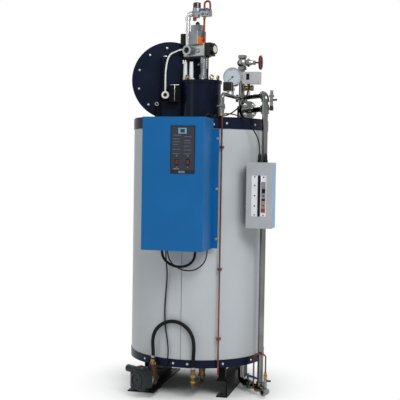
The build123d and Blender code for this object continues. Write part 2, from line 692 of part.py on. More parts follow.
# Air duct: box from the side plate to the drum, cut to the round of the drum
duct = blower * block(DUCT_LEFT, DUCT_RIGHT, 0, DUCT_HEIGHT, 0, DUCT_DEPTH)
save("air_duct", duct - disc(drum_edge + FIT, PLATE_TOP, PLATE_TOP + DUCT_HEIGHT))

# Ignition transformer: black case on the front of the duct
transformer = block(TRANSFORMER_LEFT, TRANSFORMER_LEFT + TRANSFORMER_WIDTH,
                    TRANSFORMER_RISE, TRANSFORMER_RISE + TRANSFORMER_HEIGHT,
                    DUCT_DEPTH, DUCT_DEPTH + TRANSFORMER_DEPTH)
save("ignition_transformer", blower * chamfer(transformer.edges().filter_by(Axis.Z), TRANSFORMER_EDGE))

# Air signal line: tap on the duct and the bent tube up to the gas valve
gas = Plane(origin=(GAS_AXIS[0], GAS_AXIS[1], 0),
            x_dir=(cos(radians(GAS_TURN)), sin(radians(GAS_TURN)), 0), z_dir=(0, 0, 1))
ring_start = DUCT_DEPTH + TAP_PIPE_LENGTH
ring_end = ring_start + TAP_RING_WIDTH
tap_ring = disc(TAP_RING_RADIUS, ring_start, ring_end) - disc(TAP_HOLE_RADIUS, ring_start, ring_end)
tap = blower * Pos(TAP_X, TAP_RISE, 0) * (disc(TAP_PIPE_RADIUS, DUCT_DEPTH, ring_start) + tap_ring)
tube_foot = blower.from_local_coords((TAP_X, TAP_RISE + TAP_RING_RADIUS - SIGNAL_TUBE / 4,
                                      (ring_start + ring_end) / 2))
tube_end = gas.from_local_coords((GAS_BODY_LEFT, -GAS_BODY_HALF_DEPTH / 2,
                                  GAS_TOP - GAS_BODY_ROUND - SIGNAL_TUBE))
tube_corner = gas.from_local_coords((GAS_BODY_LEFT - TUBE_LEAD, -GAS_BODY_HALF_DEPTH / 2, tube_end.Z))
rise = tube_end.Z - tube_foot.Z
tube_shoulder = tube_foot + (tube_corner - tube_foot) * TUBE_LEAN
tube_points = [tube_foot, tube_foot + Vector(0, 0, TUBE_STRAIGHT * rise),
               Vector(tube_shoulder.X, tube_shoulder.Y, tube_foot.Z + TUBE_SHOULDER * rise), tube_corner,
               tube_end]
save("air_signal_line", tap + bent_pipe(tube_points, SIGNAL_TUBE / 2, widest_bends(tube_points)))

# Gas valve: die-cast body with an open inlet at the front and a flange for the switch at its right end
gas_body = block(GAS_BODY_LEFT, GAS_BODY_RIGHT, -GAS_BODY_HALF_DEPTH, GAS_BODY_HALF_DEPTH, GAS_BOTTOM,
                 GAS_TOP)
gas_body = fillet(gas_body.edges().filter_by(Axis.X), GAS_BODY_ROUND)
gas_body += block(GAS_BODY_RIGHT - GAS_FLANGE, GAS_BODY_RIGHT, -GAS_BODY_HALF_DEPTH - GAS_FLANGE_OVER,
                  GAS_BODY_HALF_DEPTH + GAS_FLANGE_OVER, GAS_BOTTOM + GAS_SWITCH_RISE,
                  GAS_TOP + GAS_FLANGE_OVER)
inlet_axis = Plane(origin=(GAS_INLET_X, 0, GAS_INLET_HEIGHT), z_dir=(0, -1, 0))
gas_body += inlet_axis * disc(GAS_INLET_RADIUS, 0, GAS_INLET_REACH)
gas_body += inlet_axis * disc(GAS_INLET_RING, GAS_INLET_REACH - GAS_INLET_RING_WIDTH, GAS_INLET_REACH)
gas_body -= inlet_axis * disc(GAS_INLET_BORE, GAS_INLET_REACH - GAS_INLET_DEPTH, GAS_INLET_REACH)
save("gas_valve_body", gas * gas_body)

# Gas outlet: union nut on the burner cover and a ribbed neck under the valve body
outlet = disc(OUTLET_RADIUS, BOSS_TOP, GAS_BOTTOM)
outlet += hexagon(OUTLET_NUT_RADIUS, BOSS_TOP, BOSS_TOP + OUTLET_NUT_HEIGHT)
for rib in range(OUTLET_RIBS):
    rib_top = GAS_BOTTOM - rib * OUTLET_RIB_PITCH
    outlet += disc(OUTLET_RIB_RADIUS, rib_top - OUTLET_RIB_HEIGHT, rib_top)
save("gas_outlet", gas * outlet)

actuator_case = block(-ACTUATOR_WIDTH / 2, ACTUATOR_WIDTH / 2, -ACTUATOR_WIDTH / 2, ACTUATOR_WIDTH / 2,
                      GAS_TOP, GAS_TOP + ACTUATOR_HEIGHT)
cap_bottom = GAS_TOP + ACTUATOR_HEIGHT
cap_top = cap_bottom + ACTUATOR_CAP_HEIGHT
actuator = fused(
    chamfer(actuator_case.edges().filter_by(Axis.Z), ACTUATOR_EDGE),
    block(-ACTUATOR_CAP_WIDTH / 2, ACTUATOR_CAP_WIDTH / 2, -ACTUATOR_CAP_WIDTH / 2, ACTUATOR_CAP_WIDTH / 2,
          cap_bottom, cap_top),
    disc(ACTUATOR_KNOB_RADIUS, cap_top, cap_top + ACTUATOR_KNOB_HEIGHT))
save("gas_actuator", gas * Pos(ACTUATOR_X, 0, 0) * Rot(0, 0, ACTUATOR_TURN) * actuator)

# Pressure switches of the gas train: a box on the end flange and a round one on a neck at the left
gas_switch_bottom = GAS_BOTTOM + GAS_SWITCH_RISE
gas_switch_middle = gas_switch_bottom + GAS_SWITCH_HEIGHT / 2
gas_switch_end = GAS_BODY_RIGHT + GAS_SWITCH_LENGTH
gas_switch = fused(
    block(GAS_BODY_RIGHT, gas_switch_end, -GAS_SWITCH_HALF_DEPTH, GAS_SWITCH_HALF_DEPTH,
          gas_switch_bottom, gas_switch_bottom + GAS_SWITCH_HEIGHT),
    rod((gas_switch_end, 0, gas_switch_middle), (gas_switch_end + GAS_SWITCH_COVER, 0, gas_switch_middle),
        GAS_SWITCH_HALF_DEPTH))
air_switch_place = (AIR_SWITCH_X, AIR_SWITCH_Y)
air_switch_bottom = GAS_TOP + AIR_SWITCH_CLEAR
air_switch = fused(
    disc(AIR_SWITCH_RADIUS, air_switch_bottom, air_switch_bottom + AIR_SWITCH_HEIGHT, air_switch_place),
    disc(AIR_SWITCH_NECK, GAS_INLET_HEIGHT - AIR_SWITCH_NECK, air_switch_bottom, air_switch_place),
    rod((AIR_SWITCH_X, AIR_SWITCH_Y, GAS_INLET_HEIGHT), (GAS_BODY_LEFT, AIR_SWITCH_Y, GAS_INLET_HEIGHT),
        AIR_SWITCH_NECK))
save("gas_switches", gas * solids(gas_switch, air_switch))

# Pilot gas: riser with an elbow, regulator, block with two caps, copper loop and drop tube
regulator_inlet = REGULATOR_X - REGULATOR_RADIUS
riser = bent_pipe([(RISER_X, RISER_Y, GAS_TOP), (RISER_X, RISER_Y, PILOT_HEIGHT),
                   (regulator_inlet, RISER_Y, PILOT_HEIGHT)], RISER_RADIUS, ELBOW_RADIUS)
riser += disc(ELBOW_RADIUS, PILOT_HEIGHT - 2 * ELBOW_RADIUS, PILOT_HEIGHT - ELBOW_RADIUS, (RISER_X, RISER_Y))
riser += rod((RISER_X + ELBOW_RADIUS, RISER_Y, PILOT_HEIGHT), (regulator_inlet, RISER_Y, PILOT_HEIGHT),
             ELBOW_RADIUS)
save("gas_pipe", gas * riser)

rim_bottom = PILOT_HEIGHT + REGULATOR_RIM_RISE
rim_top = rim_bottom + REGULATOR_RIM_HEIGHT
regulator_cap = rim_top + REGULATOR_GROOVE
regulator_top = regulator_cap + REGULATOR_CAP_HEIGHT
regulator = Pos(REGULATOR_X, RISER_Y, 0) * turned([
    (0, PILOT_HEIGHT - REGULATOR_BELOW), (REGULATOR_FOOT_RADIUS, PILOT_HEIGHT - REGULATOR_BELOW),
    (REGULATOR_BOWL_RADIUS, PILOT_HEIGHT), (REGULATOR_RADIUS, rim_bottom), (REGULATOR_RADIUS, rim_top),
    (REGULATOR_FOOT_RADIUS, rim_top), (REGULATOR_FOOT_RADIUS, regulator_cap),
    (REGULATOR_CAP_RADIUS, regulator_cap), (REGULATOR_CAP_RADIUS, regulator_top - REGULATOR_CAP_EDGE),
    (REGULATOR_CAP_RADIUS - REGULATOR_CAP_EDGE, regulator_top), (0, regulator_top)])
regulator += rod((regulator_inlet, RISER_Y, PILOT_HEIGHT), (PILOT_BLOCK_LEFT, RISER_Y, PILOT_HEIGHT),
                 PILOT_BOSS_RADIUS)
regulator += disc(TEST_PLUG_RADIUS, PILOT_HEIGHT - TEST_PLUG_LENGTH, PILOT_HEIGHT,
                  (regulator_inlet + TEST_PLUG_RADIUS, RISER_Y))
pilot_bottom = PILOT_HEIGHT - PILOT_BLOCK_BELOW
pilot_top = pilot_bottom + PILOT_BLOCK_HEIGHT
loop_right = PILOT_LOOP_LEFT + PILOT_LOOP_WIDTH
pilot_block = block(PILOT_BLOCK_LEFT, PILOT_BLOCK_RIGHT, PILOT_BLOCK_FRONT, PILOT_BLOCK_BACK, pilot_bottom,
                    pilot_top)
for cap_x in (PILOT_BLOCK_LEFT + PILOT_CAP_RADIUS, loop_right - PILOT_CAP_RADIUS):
    pilot_block += disc(PILOT_CAP_RADIUS, pilot_top, pilot_top + PILOT_CAP_HEIGHT,
                        (cap_x, PILOT_BLOCK_FRONT + PILOT_CAP_RADIUS))
save("pilot_valve", gas * (regulator + pilot_block))

loop_top = pilot_top + PILOT_LOOP_HEIGHT
loop = bent_pipe([(PILOT_LOOP_LEFT, PILOT_TUBE_Y, pilot_top), (PILOT_LOOP_LEFT, PILOT_TUBE_Y, loop_top),
                  (loop_right, PILOT_TUBE_Y, loop_top), (loop_right, PILOT_TUBE_Y, pilot_top)],
                 PILOT_TUBE / 2, (PILOT_LOOP_WIDTH - PILOT_LOOP_FLAT) / 2)
drop = disc(PILOT_TUBE / 2, GAS_TOP, pilot_bottom, (PILOT_LOOP_LEFT, PILOT_TUBE_Y))
save("pilot_tube", gas * solids(loop, drop))

# Ignition boots: two white insulating sleeves on the burner cover
boot_top = COVER_TOP + BOOT_LENGTH
boot = turned([(0, COVER_TOP), (BOOT_RADIUS, COVER_TOP), (BOOT_TOP_RADIUS, boot_top), (0, boot_top)])
save("ignition_boots", solids(*[Pos(x, y, 0) * boot for x, y in BOOT_PLACES]))

# Steam header: riser with a side nozzle whose flange faces the level column
steam_x, steam_y = STEAM_AXIS
column_x, column_y, _ = around(COLUMN_ANGLE, BODY_RADIUS + COLUMN_OFFSET, 0)
column_axis = (column_x, column_y)
span = hypot(column_x - steam_x, column_y - steam_y)
level_way = ((column_x - steam_x) / span, (column_y - steam_y) / span)


def along_level(distance, height):
    """Point on the line from the steam axis towards the level column."""
    return (steam_x + level_way[0] * distance, steam_y + level_way[1] * distance, height)


def level_rod(start, end, height, radius):
    """Round bar on that line."""
    return rod(along_level(start, height), along_level(end, height), radius)


stub_end = span - TEE_HALF
save("steam_header", fused(
    disc(STEAM_FOOT_RADIUS, PLATE_TOP, PLATE_TOP + STEAM_FOOT, STEAM_AXIS),
    disc(NOZZLE_RADIUS, PLATE_TOP + STEAM_FOOT, NOZZLE_HEIGHT + NOZZLE_RADIUS, STEAM_AXIS),
    disc(STEAM_PIPE_RADIUS, NOZZLE_HEIGHT, VALVE_FOOT, STEAM_AXIS),
    disc(MANIFOLD_RADIUS, GAUGE_LINE_HEIGHT - MANIFOLD_OVER, BALANCE_HEIGHT + MANIFOLD_OVER, STEAM_AXIS),
    level_rod(0, NOZZLE_OFFSET, NOZZLE_HEIGHT, NOZZLE_RADIUS),
    level_rod(NOZZLE_OFFSET - NOZZLE_FLANGE, NOZZLE_OFFSET, NOZZLE_HEIGHT, NOZZLE_FLANGE_RADIUS)))
save("nozzle_flange",
     level_rod(NOZZLE_OFFSET, NOZZLE_OFFSET + NOZZLE_FLANGE, NOZZLE_HEIGHT, NOZZLE_FLANGE_RADIUS)
     + level_rod(NOZZLE_OFFSET, stub_end, NOZZLE_HEIGHT, STUB_RADIUS))
balance = level_rod(0, stub_end, BALANCE_HEIGHT, BALANCE_RADIUS)
save("balance_pipe", balance - disc(MANIFOLD_RADIUS + FIT, BALANCE_HEIGHT - 2 * BALANCE_RADIUS,
                                    BALANCE_HEIGHT + 2 * BALANCE_RADIUS, STEAM_AXIS))

# Globe stop valve: hexagon ends, round body, bonnet nut, tapered bonnet and gland nut to the right
valve_top = VALVE_FOOT + VALVE_HEIGHT
spindle_line = Plane(origin=(steam_x, steam_y, VALVE_FOOT + VALVE_RISE), z_dir=(1, 0, 0))
valve = Pos(steam_x, steam_y, 0) * fused(
    hexagon(VALVE_HEX_RADIUS, VALVE_FOOT, VALVE_FOOT + VALVE_HEX_HEIGHT),
    hexagon(VALVE_HEX_RADIUS, valve_top - VALVE_HEX_HEIGHT, valve_top),
    Pos(0, 0, VALVE_FOOT + VALVE_RISE) * Sphere(VALVE_GLOBE_RADIUS))
valve += spindle_line * turned([
    (0, 0), (BONNET_RADIUS, 0), (BONNET_RADIUS, BONNET_NUT_END), (BONNET_TIP_RADIUS, BONNET_END),
    (0, BONNET_END)])
valve += spindle_line * hexagon(BONNET_NUT_RADIUS, BONNET_NUT_START, BONNET_NUT_END)
valve += spindle_line * hexagon(GLAND_RADIUS, BONNET_END, GLAND_END)
valve -= spindle_line * disc(SPINDLE_RADIUS + FIT, GLAND_END - SPINDLE_DEPTH, GLAND_END)
valve -= disc(VALVE_BORE, valve_top - VALVE_BORE_DEPTH, valve_top, STEAM_AXIS)
save("stop_valve", valve)

# Handwheel with its spindle: scalloped rim, web with round windows, hub
hub_start = WHEEL_OFFSET - WHEEL_HUB_LENGTH / 2
rim_inner = WHEEL_RADIUS - WHEEL_RIM_WIDTH
rim_half = WHEEL_RIM_DEPTH / 2
wheel = Pos(0, 0, WHEEL_OFFSET) * turned([
    (rim_inner, -rim_half), (WHEEL_RADIUS - WHEEL_RIM_EDGE, -rim_half),
    (WHEEL_RADIUS, WHEEL_RIM_EDGE - rim_half),
    (WHEEL_RADIUS, rim_half - WHEEL_RIM_EDGE), (WHEEL_RADIUS - WHEEL_RIM_EDGE, rim_half),
    (rim_inner, rim_half)])
wheel += disc(rim_inner + WHEEL_RIM_EDGE, WHEEL_OFFSET - WHEEL_WEB / 2, WHEEL_OFFSET + WHEEL_WEB / 2)
scallop_circle = WHEEL_RADIUS + SCALLOP_RADIUS - SCALLOP_BITE
window_circle = (WHEEL_HUB_RADIUS + rim_inner) / 2
for circle, count, radius in ((scallop_circle, SCALLOPS, SCALLOP_RADIUS),
                              (window_circle, WHEEL_WINDOWS, WHEEL_WINDOW_RADIUS)):
    for number in range(count):
        angle = radians(360 / count * number)
        wheel -= disc(radius, WHEEL_OFFSET - WHEEL_RIM_DEPTH, WHEEL_OFFSET + WHEEL_RIM_DEPTH,
                      (circle * cos(angle), circle * sin(angle)))
wheel += disc(WHEEL_HUB_RADIUS, hub_start, hub_start + WHEEL_HUB_LENGTH)
wheel += disc(SPINDLE_RADIUS, GLAND_END - SPINDLE_DEPTH + FIT, WHEEL_OFFSET)
save("handwheel", spindle_line * wheel)

# Gauge line: pipe from the header to an elbow, with a needle valve over the copper drain
line_end_x, line_end_y, _ = around(GAUGE_LINE_ANGLE, BODY_RADIUS + GAUGE_LINE_OFFSET, 0)
line_end = (line_end_x, line_end_y)
line_run = Vector(line_end_x - steam_x, line_end_y - steam_y, 0)
line_way = line_run.normalized()


def along_gauge(distance, height):
    """Point above or on the gauge line."""
    return (steam_x + line_way.X * distance, steam_y + line_way.Y * distance, height)


needle_height = GAUGE_LINE_HEIGHT - NEEDLE_DROP
needle_nut = GAUGE_LINE_HEIGHT - NEEDLE_NUT_DROP
gauge_line = bent_pipe([along_gauge(0, GAUGE_LINE_HEIGHT), along_gauge(line_run.length, GAUGE_LINE_HEIGHT),
                        along_gauge(line_run.length, needle_nut)], GAUGE_LINE_RADIUS, GAUGE_LINE_BEND)
gauge_line -= disc(MANIFOLD_RADIUS + FIT, GAUGE_LINE_HEIGHT - 2 * GAUGE_LINE_RADIUS,
                   GAUGE_LINE_HEIGHT + 2 * GAUGE_LINE_RADIUS, STEAM_AXIS)
gauge_line += disc(NEEDLE_RADIUS, needle_height - NEEDLE_RADIUS, needle_height + NEEDLE_RADIUS, line_end)
gauge_line += Pos(*line_end, 0) * hexagon(NEEDLE_RADIUS, needle_nut, needle_nut + NEEDLE_RADIUS)
handle_y = line_end_y - TEE_HANDLE_REACH
gauge_line += rod((line_end_x, line_end_y, needle_height), (line_end_x, handle_y, needle_height),
                  SPINDLE_RADIUS)
gauge_line += rod((line_end_x - TEE_HANDLE_LENGTH / 2, handle_y, needle_height),
                  (line_end_x + TEE_HANDLE_LENGTH / 2, handle_y, needle_height), SPINDLE_RADIUS)
save("gauge_line", gauge_line)

# Pressure gauge: round case with a raised rim and a hexagon stem, standing on the gauge line
gauge_height = GAUGE_LINE_HEIGHT + GAUGE_RISE
gauge_x, gauge_y, _ = along_gauge(GAUGE_PLACE, gauge_height)
half_case = GAUGE_DEPTH / 2
stem_top = gauge_height - GAUGE_RADIUS + GAUGE_RIM
line_bed = rod(along_gauge(0, GAUGE_LINE_HEIGHT), along_gauge(line_run.length, GAUGE_LINE_HEIGHT),
               GAUGE_LINE_RADIUS + FIT)
gauge = Plane(origin=(gauge_x, gauge_y, gauge_height), z_dir=(0, -1, 0)) * turned([
    (0, -half_case), (GAUGE_RADIUS - GAUGE_RIM, -half_case), (GAUGE_RADIUS, GAUGE_RIM - half_case),
    (GAUGE_RADIUS, half_case), (GAUGE_RADIUS - GAUGE_RIM, half_case),
    (GAUGE_RADIUS - GAUGE_RIM, half_case - GAUGE_RECESS), (0, half_case - GAUGE_RECESS)])
gauge += disc(GAUGE_STEM_RADIUS, GAUGE_LINE_HEIGHT, stem_top, (gauge_x, gauge_y)) - line_bed
gauge += Pos(gauge_x, gauge_y, 0) * hexagon(GAUGE_NUT_RADIUS, stem_top - 2 * GAUGE_NUT_HEIGHT,
                                            stem_top - GAUGE_NUT_HEIGHT)
save("pressure_gauge", gauge)

# Pressure switches: a grey box on a cross over the balance pipe and a black one on the gauge line
limit_bottom = GAUGE_LINE_HEIGHT + LIMIT_RISE
limit_x, limit_y, _ = along_gauge(LIMIT_PLACE, limit_bottom)
limit = block(limit_x - LIMIT_WIDTH / 2, limit_x + LIMIT_WIDTH / 2, limit_y - LIMIT_DEPTH / 2,
              limit_y + LIMIT_DEPTH / 2, limit_bottom, limit_bottom + LIMIT_HEIGHT)
limit += disc(GAUGE_STEM_RADIUS, GAUGE_LINE_HEIGHT, limit_bottom, (limit_x, limit_y)) - line_bed
cross_height = BALANCE_HEIGHT + CROSS_RISE
switch_x, switch_y, _ = along_level(SWITCH_OFFSET, SWITCH_BOTTOM)
switch_left = switch_x + SWITCH_SIDE_SHIFT - SWITCH_WIDTH / 2
switch_box = block(switch_left, switch_left + SWITCH_WIDTH, switch_y - SWITCH_DEPTH / 2,
                   switch_y + SWITCH_DEPTH / 2, SWITCH_BOTTOM, SWITCH_BOTTOM + SWITCH_HEIGHT)
switch_stem = disc(SWITCH_STEM_RADIUS, BALANCE_HEIGHT, SWITCH_BOTTOM, (switch_x, switch_y))
switch_stem -= level_rod(0, span, BALANCE_HEIGHT, BALANCE_RADIUS + FIT)
cross = rod((switch_x - CROSS_REACH, switch_y, cross_height),
            (switch_x + CROSS_REACH, switch_y, cross_height), CROSS_RADIUS)
save("pressure_switches", solids(limit, fused(switch_box, switch_stem, cross)))

# Copper drain line down the jacket, held by clips
clip_back = -sqrt((BODY_RADIUS + FIT) ** 2 - line_end_x ** 2)
drain_line = disc(DRAIN_LINE / 2, BASE_HEIGHT - DRAIN_LINE_OVER, needle_nut, line_end)
for clip_bottom in [TOP_HEIGHT - CLIP_DROP] + [BASE_HEIGHT + clip_rise for clip_rise in CLIP_RISES]:
    clip = block(line_end_x - CLIP_WIDTH / 2, line_end_x + CLIP_WIDTH / 2, line_end_y - DRAIN_LINE,
                 clip_back + CLIP_WIDTH, clip_bottom, clip_bottom + CLIP_HEIGHT)
    drain_line += clip - disc(BODY_RADIUS + FIT, RING_FLOOR, BAND_BOTTOM)
save("copper_drain_line", drain_line)

# Level column: upright pipe with an elbow at the top and tees, all with beads round their mouths
bead_radius = FITTING_RADIUS + BEAD
elbow_foot = BALANCE_HEIGHT - 2 * TEE_HALF + FITTING_RADIUS
column = disc(COLUMN_RADIUS, LINE_HEIGHT, BALANCE_HEIGHT - TEE_HALF, column_axis)
column += bent_pipe([along_level(span, elbow_foot), along_level(span, BALANCE_HEIGHT),
                     along_level(stub_end, BALANCE_HEIGHT)], FITTING_RADIUS, COLUMN_BEND)
column += disc(bead_radius, elbow_foot, elbow_foot + BEAD_LENGTH, column_axis)
column += level_rod(stub_end, stub_end + BEAD_LENGTH, BALANCE_HEIGHT, bead_radius)
column += level_rod(stub_end, span, NOZZLE_HEIGHT, BRANCH_RADIUS)
column += level_rod(stub_end, stub_end + BEAD_LENGTH, NOZZLE_HEIGHT, BRANCH_RADIUS + BEAD)
tee_bottom = NOZZLE_HEIGHT - TEE_HALF
tee_top = NOZZLE_HEIGHT + FITTING_RADIUS
column += disc(FITTING_RADIUS, tee_bottom, tee_top, column_axis)
column += disc(bead_radius, tee_bottom, tee_bottom + BEAD_LENGTH, column_axis)

blow_way = (cos(radians(BLOW_ANGLE)), -sin(radians(BLOW_ANGLE)))


def along_blow(distance, height):
    """Point on the blow-down line, measured from the level column outwards."""
    return (column_x + blow_way[0] * distance, column_y + blow_way[1] * distance, height)


blow_line = Plane(origin=along_blow(0, LINE_HEIGHT), z_dir=(blow_way[0], blow_way[1], 0))
foot_top = LINE_HEIGHT + 2 * TEE_HALF - FITTING_RADIUS
column += blow_line * disc(FITTING_RADIUS, -TEE_HALF, TEE_HALF)
column += blow_line * disc(bead_radius, -TEE_HALF, BEAD_LENGTH - TEE_HALF)
column += blow_line * disc(bead_radius, TEE_HALF - BEAD_LENGTH, TEE_HALF)
column += disc(BRANCH_RADIUS, LINE_HEIGHT, foot_top, column_axis)
column += disc(BRANCH_RADIUS + BEAD, foot_top - BEAD_LENGTH, foot_top, column_axis)
save("level_column", column)

# Level box: sheet-metal case clamped to the column, with a window in its front
box_left = column_x - LEVEL_BOX_WIDTH / 2
box_right = column_x + LEVEL_BOX_WIDTH / 2
box_back = column_y - LEVEL_BOX_STANDOFF
box_front = box_back - LEVEL_BOX_DEPTH
window_left = column_x - WINDOW_WIDTH / 2
window_right = column_x + WINDOW_WIDTH / 2
window_bottom = LEVEL_BOX_BOTTOM + WINDOW_RISE
window_top = window_bottom + WINDOW_HEIGHT
scale_front = box_front + LEVEL_BOX_SHEET
level_box = block(box_left, box_right, box_front, box_back, LEVEL_BOX_BOTTOM, LEVEL_BOX_TOP)
level_box -= block(box_left + LEVEL_BOX_SHEET, box_right - LEVEL_BOX_SHEET, scale_front,
                   box_back - LEVEL_BOX_SHEET,
                   LEVEL_BOX_BOTTOM + LEVEL_BOX_SHEET, LEVEL_BOX_TOP - LEVEL_BOX_SHEET)
level_box -= block(window_left, window_right, box_front, scale_front, window_bottom, window_top)
column_bed = disc(COLUMN_RADIUS + FIT, LEVEL_BOX_BOTTOM, LEVEL_BOX_TOP, column_axis)
for clamp_bottom in (LEVEL_BOX_BOTTOM + CLAMP_INSET, LEVEL_BOX_TOP - CLAMP_INSET - CLAMP_HEIGHT):
    level_box += block(column_x - CLAMP_HALF_WIDTH, column_x + CLAMP_HALF_WIDTH, box_back, column_y,
                       clamp_bottom, clamp_bottom + CLAMP_HEIGHT) - column_bed
save("level_box", level_box)

level_gauge = block(window_left - SCALE_MARGIN, window_right + SCALE_MARGIN, scale_front,
                    scale_front + SCALE_PLATE, window_bottom - SCALE_MARGIN, window_top + SCALE_MARGIN)
level_gauge += disc(SIGHT_RADIUS, window_bottom + SCALE_MARGIN, window_top - SCALE_MARGIN,
                    (column_x, scale_front))
save("level_gauge", level_gauge)

level_gland = turned([
    (0, 0), (LEVEL_GLAND_RADIUS, 0), (LEVEL_GLAND_RADIUS, GLAND_NUT_HEIGHT),
    (GLAND_BODY_RADIUS, GLAND_NUT_HEIGHT),
    (GLAND_BODY_RADIUS, GLAND_DOME_START), (GLAND_TIP_RADIUS, GLAND_HEIGHT), (0, GLAND_HEIGHT)])
gland_places = [(column_x + offset, column_y - GLAND_FRONT) for offset in GLAND_OFFSETS]
save("level_glands", solids(*[Pos(*place, LEVEL_BOX_TOP) * level_gland for place in gland_places]))


# Cocks: an upright body, a front boss for the plug and a small lever on it
def cock(axis, bottom, top, radius, lever_height):
    boss_end = axis[1] - radius - LEVER_GAP
    return disc(radius, bottom, top, axis) + rod(
        (axis[0], axis[1], lever_height), (axis[0], boss_end, lever_height), COCK_BOSS_RADIUS)


def cock_lever(axis, radius, lever_height):
    back = axis[1] - radius - LEVER_GAP
    lever = block(axis[0], axis[0] + LEVER_LENGTH, back - LEVER_SHEET, back, lever_height - LEVER_WIDTH / 2,
                  lever_height + LEVER_WIDTH / 2)
    return lever + rod((axis[0], back, lever_height), (axis[0], back - LEVER_SHEET, lever_height),
                       LEVER_WIDTH)


try_axis = (column_x + TRY_COCK_OFFSET, column_y)
try_lever_height = NOZZLE_HEIGHT + TRY_LEVER_RISE
try_nut = NOZZLE_HEIGHT + TRY_NUT_RISE
try_cock = cock(try_axis, NOZZLE_HEIGHT - TRY_COCK_FOOT, NOZZLE_HEIGHT + TRY_COCK_RISE, TRY_COCK_RADIUS,
                try_lever_height)
try_cock += Pos(*try_axis, 0) * hexagon(TRY_NUT_RADIUS, try_nut, try_nut + TRY_NUT_HEIGHT)
try_cock += rod((column_x, column_y, NOZZLE_HEIGHT), (try_axis[0], column_y, NOZZLE_HEIGHT),
                TRY_NIPPLE_RADIUS)
try_cock -= disc(FITTING_RADIUS + FIT, NOZZLE_HEIGHT - FITTING_RADIUS, NOZZLE_HEIGHT + FITTING_RADIUS,
                 column_axis)
save("try_cock", try_cock)
save("try_cock_lever", cock_lever(try_axis, TRY_COCK_RADIUS, try_lever_height))

# Control box: back plate on brackets, folded cover and the panel on its front
back_plate = block(-BACK_HALF_WIDTH, BACK_HALF_WIDTH, BACK_FRONT, BACK_REAR, BACK_BOTTOM, BACK_TOP)
for side in (-1, 1):
    middle = side * BRACKET_X
    back_plate += block(middle - BRACKET_WIDTH / 2, middle + BRACKET_WIDTH / 2, BACK_REAR, -BODY_RADIUS / 2,
                        BACK_BOTTOM + BRACKET_WIDTH, BACK_TOP - BRACKET_WIDTH) - disc(
                            BODY_RADIUS + FIT, BACK_BOTTOM, BACK_TOP)
save("control_back", back_plate)

panel_front = CONTROL_FRONT - PANEL_SHEET
bezel_front = panel_front - BEZEL_PROUD
hole_half_width = ROCKER_WIDTH / 2 + ROCKER_SIDE_GAP
hole_half_length = ROCKER_LENGTH / 2 + ROCKER_END_GAP
display_left = PANEL_LEFT + DISPLAY_INSET
display_top = PANEL_TOP - DISPLAY_DROP
cover = block(-CONTROL_HALF_WIDTH, CONTROL_HALF_WIDTH, CONTROL_FRONT, BACK_FRONT, CONTROL_BOTTOM, CONTROL_TOP)
cover = fillet(cover.edges().filter_by(Axis.Z).group_by(Axis.Y)[0], CONTROL_ROUND)
cover -= block(-CONTROL_HALF_WIDTH + CONTROL_SHEET, CONTROL_HALF_WIDTH - CONTROL_SHEET,
               CONTROL_FRONT + CONTROL_SHEET,
               BACK_FRONT, CONTROL_BOTTOM + CONTROL_SHEET, CONTROL_TOP - CONTROL_SHEET)
panel = block(PANEL_LEFT, PANEL_LEFT + PANEL_WIDTH, panel_front, CONTROL_FRONT, PANEL_BOTTOM, PANEL_TOP)
panel += block(display_left, display_left + DISPLAY_WIDTH, panel_front - DISPLAY_FRAME, panel_front,
               display_top - DISPLAY_HEIGHT, display_top)
for inset in ROCKER_INSETS.values():
    middle = PANEL_LEFT + inset
    hole = block(middle - hole_half_width, middle + hole_half_width, bezel_front,
                 CONTROL_FRONT + CONTROL_SHEET,
                 ROCKER_HEIGHT - hole_half_length, ROCKER_HEIGHT + hole_half_length)
    panel += block(middle - BEZEL_WIDTH / 2, middle + BEZEL_WIDTH / 2, bezel_front, panel_front,
                   ROCKER_HEIGHT - BEZEL_LENGTH / 2, ROCKER_HEIGHT + BEZEL_LENGTH / 2)
    panel -= hole
    cover -= hole
save("control_cover", cover)
save("display_panel", panel)

# Rocker switches: a shallow V in front, pressed in at the top at rest
rocker_crest = bezel_front - ROCKER_LENGTH / 2 * tan(radians(ROCKER_TILT))
rocker_back = bezel_front + ROCKER_DEPTH
rocker_profile = make_face(Polyline(
    (bezel_front, -ROCKER_LENGTH / 2), (rocker_crest, 0), (bezel_front, ROCKER_LENGTH / 2),
    (rocker_back, ROCKER_LENGTH / 2), (rocker_back, -ROCKER_LENGTH / 2), close=True))
for rocker_name, inset in ROCKER_INSETS.items():
    middle = PANEL_LEFT + inset
    side_view = Plane(origin=(middle, 0, ROCKER_HEIGHT), x_dir=(0, 1, 0), z_dir=(1, 0, 0))
    rocker = extrude(side_view * rocker_profile, ROCKER_WIDTH / 2, both=True)
    pivot = Axis((middle, bezel_front + ROCKER_PIVOT, ROCKER_HEIGHT), (1, 0, 0))
    save(rocker_name, rocker.rotate(pivot, -ROCKER_TILT))

# Blow-down line: nozzle under the boiler, ball valve with hexagon ends and its lever
blow_pipe = bent_pipe([along_blow(-BLOW_NOZZLE, RING_FLOOR), along_blow(-BLOW_NOZZLE, LINE_HEIGHT),
                       along_blow(-TEE_HALF, LINE_HEIGHT)], COLUMN_RADIUS, BLOW_BEND)
blow_pipe += blow_line * disc(BLOW_BALL_RADIUS, -BLOW_VALVE - BLOW_BALL_HALF, BLOW_BALL_HALF - BLOW_VALVE)
blow_pipe += blow_line * hexagon(BLOW_HEX_RADIUS, -BLOW_VALVE - BLOW_VALVE_HALF, BLOW_VALVE_HALF - BLOW_VALVE)
stem_x, stem_y, lever_bottom = along_blow(-BLOW_VALVE, LINE_HEIGHT + BLOW_STEM_RISE)
blow_pipe += disc(BLOW_STEM_RADIUS, LINE_HEIGHT, lever_bottom, (stem_x, stem_y))
save("blowdown_pipe", blow_pipe)

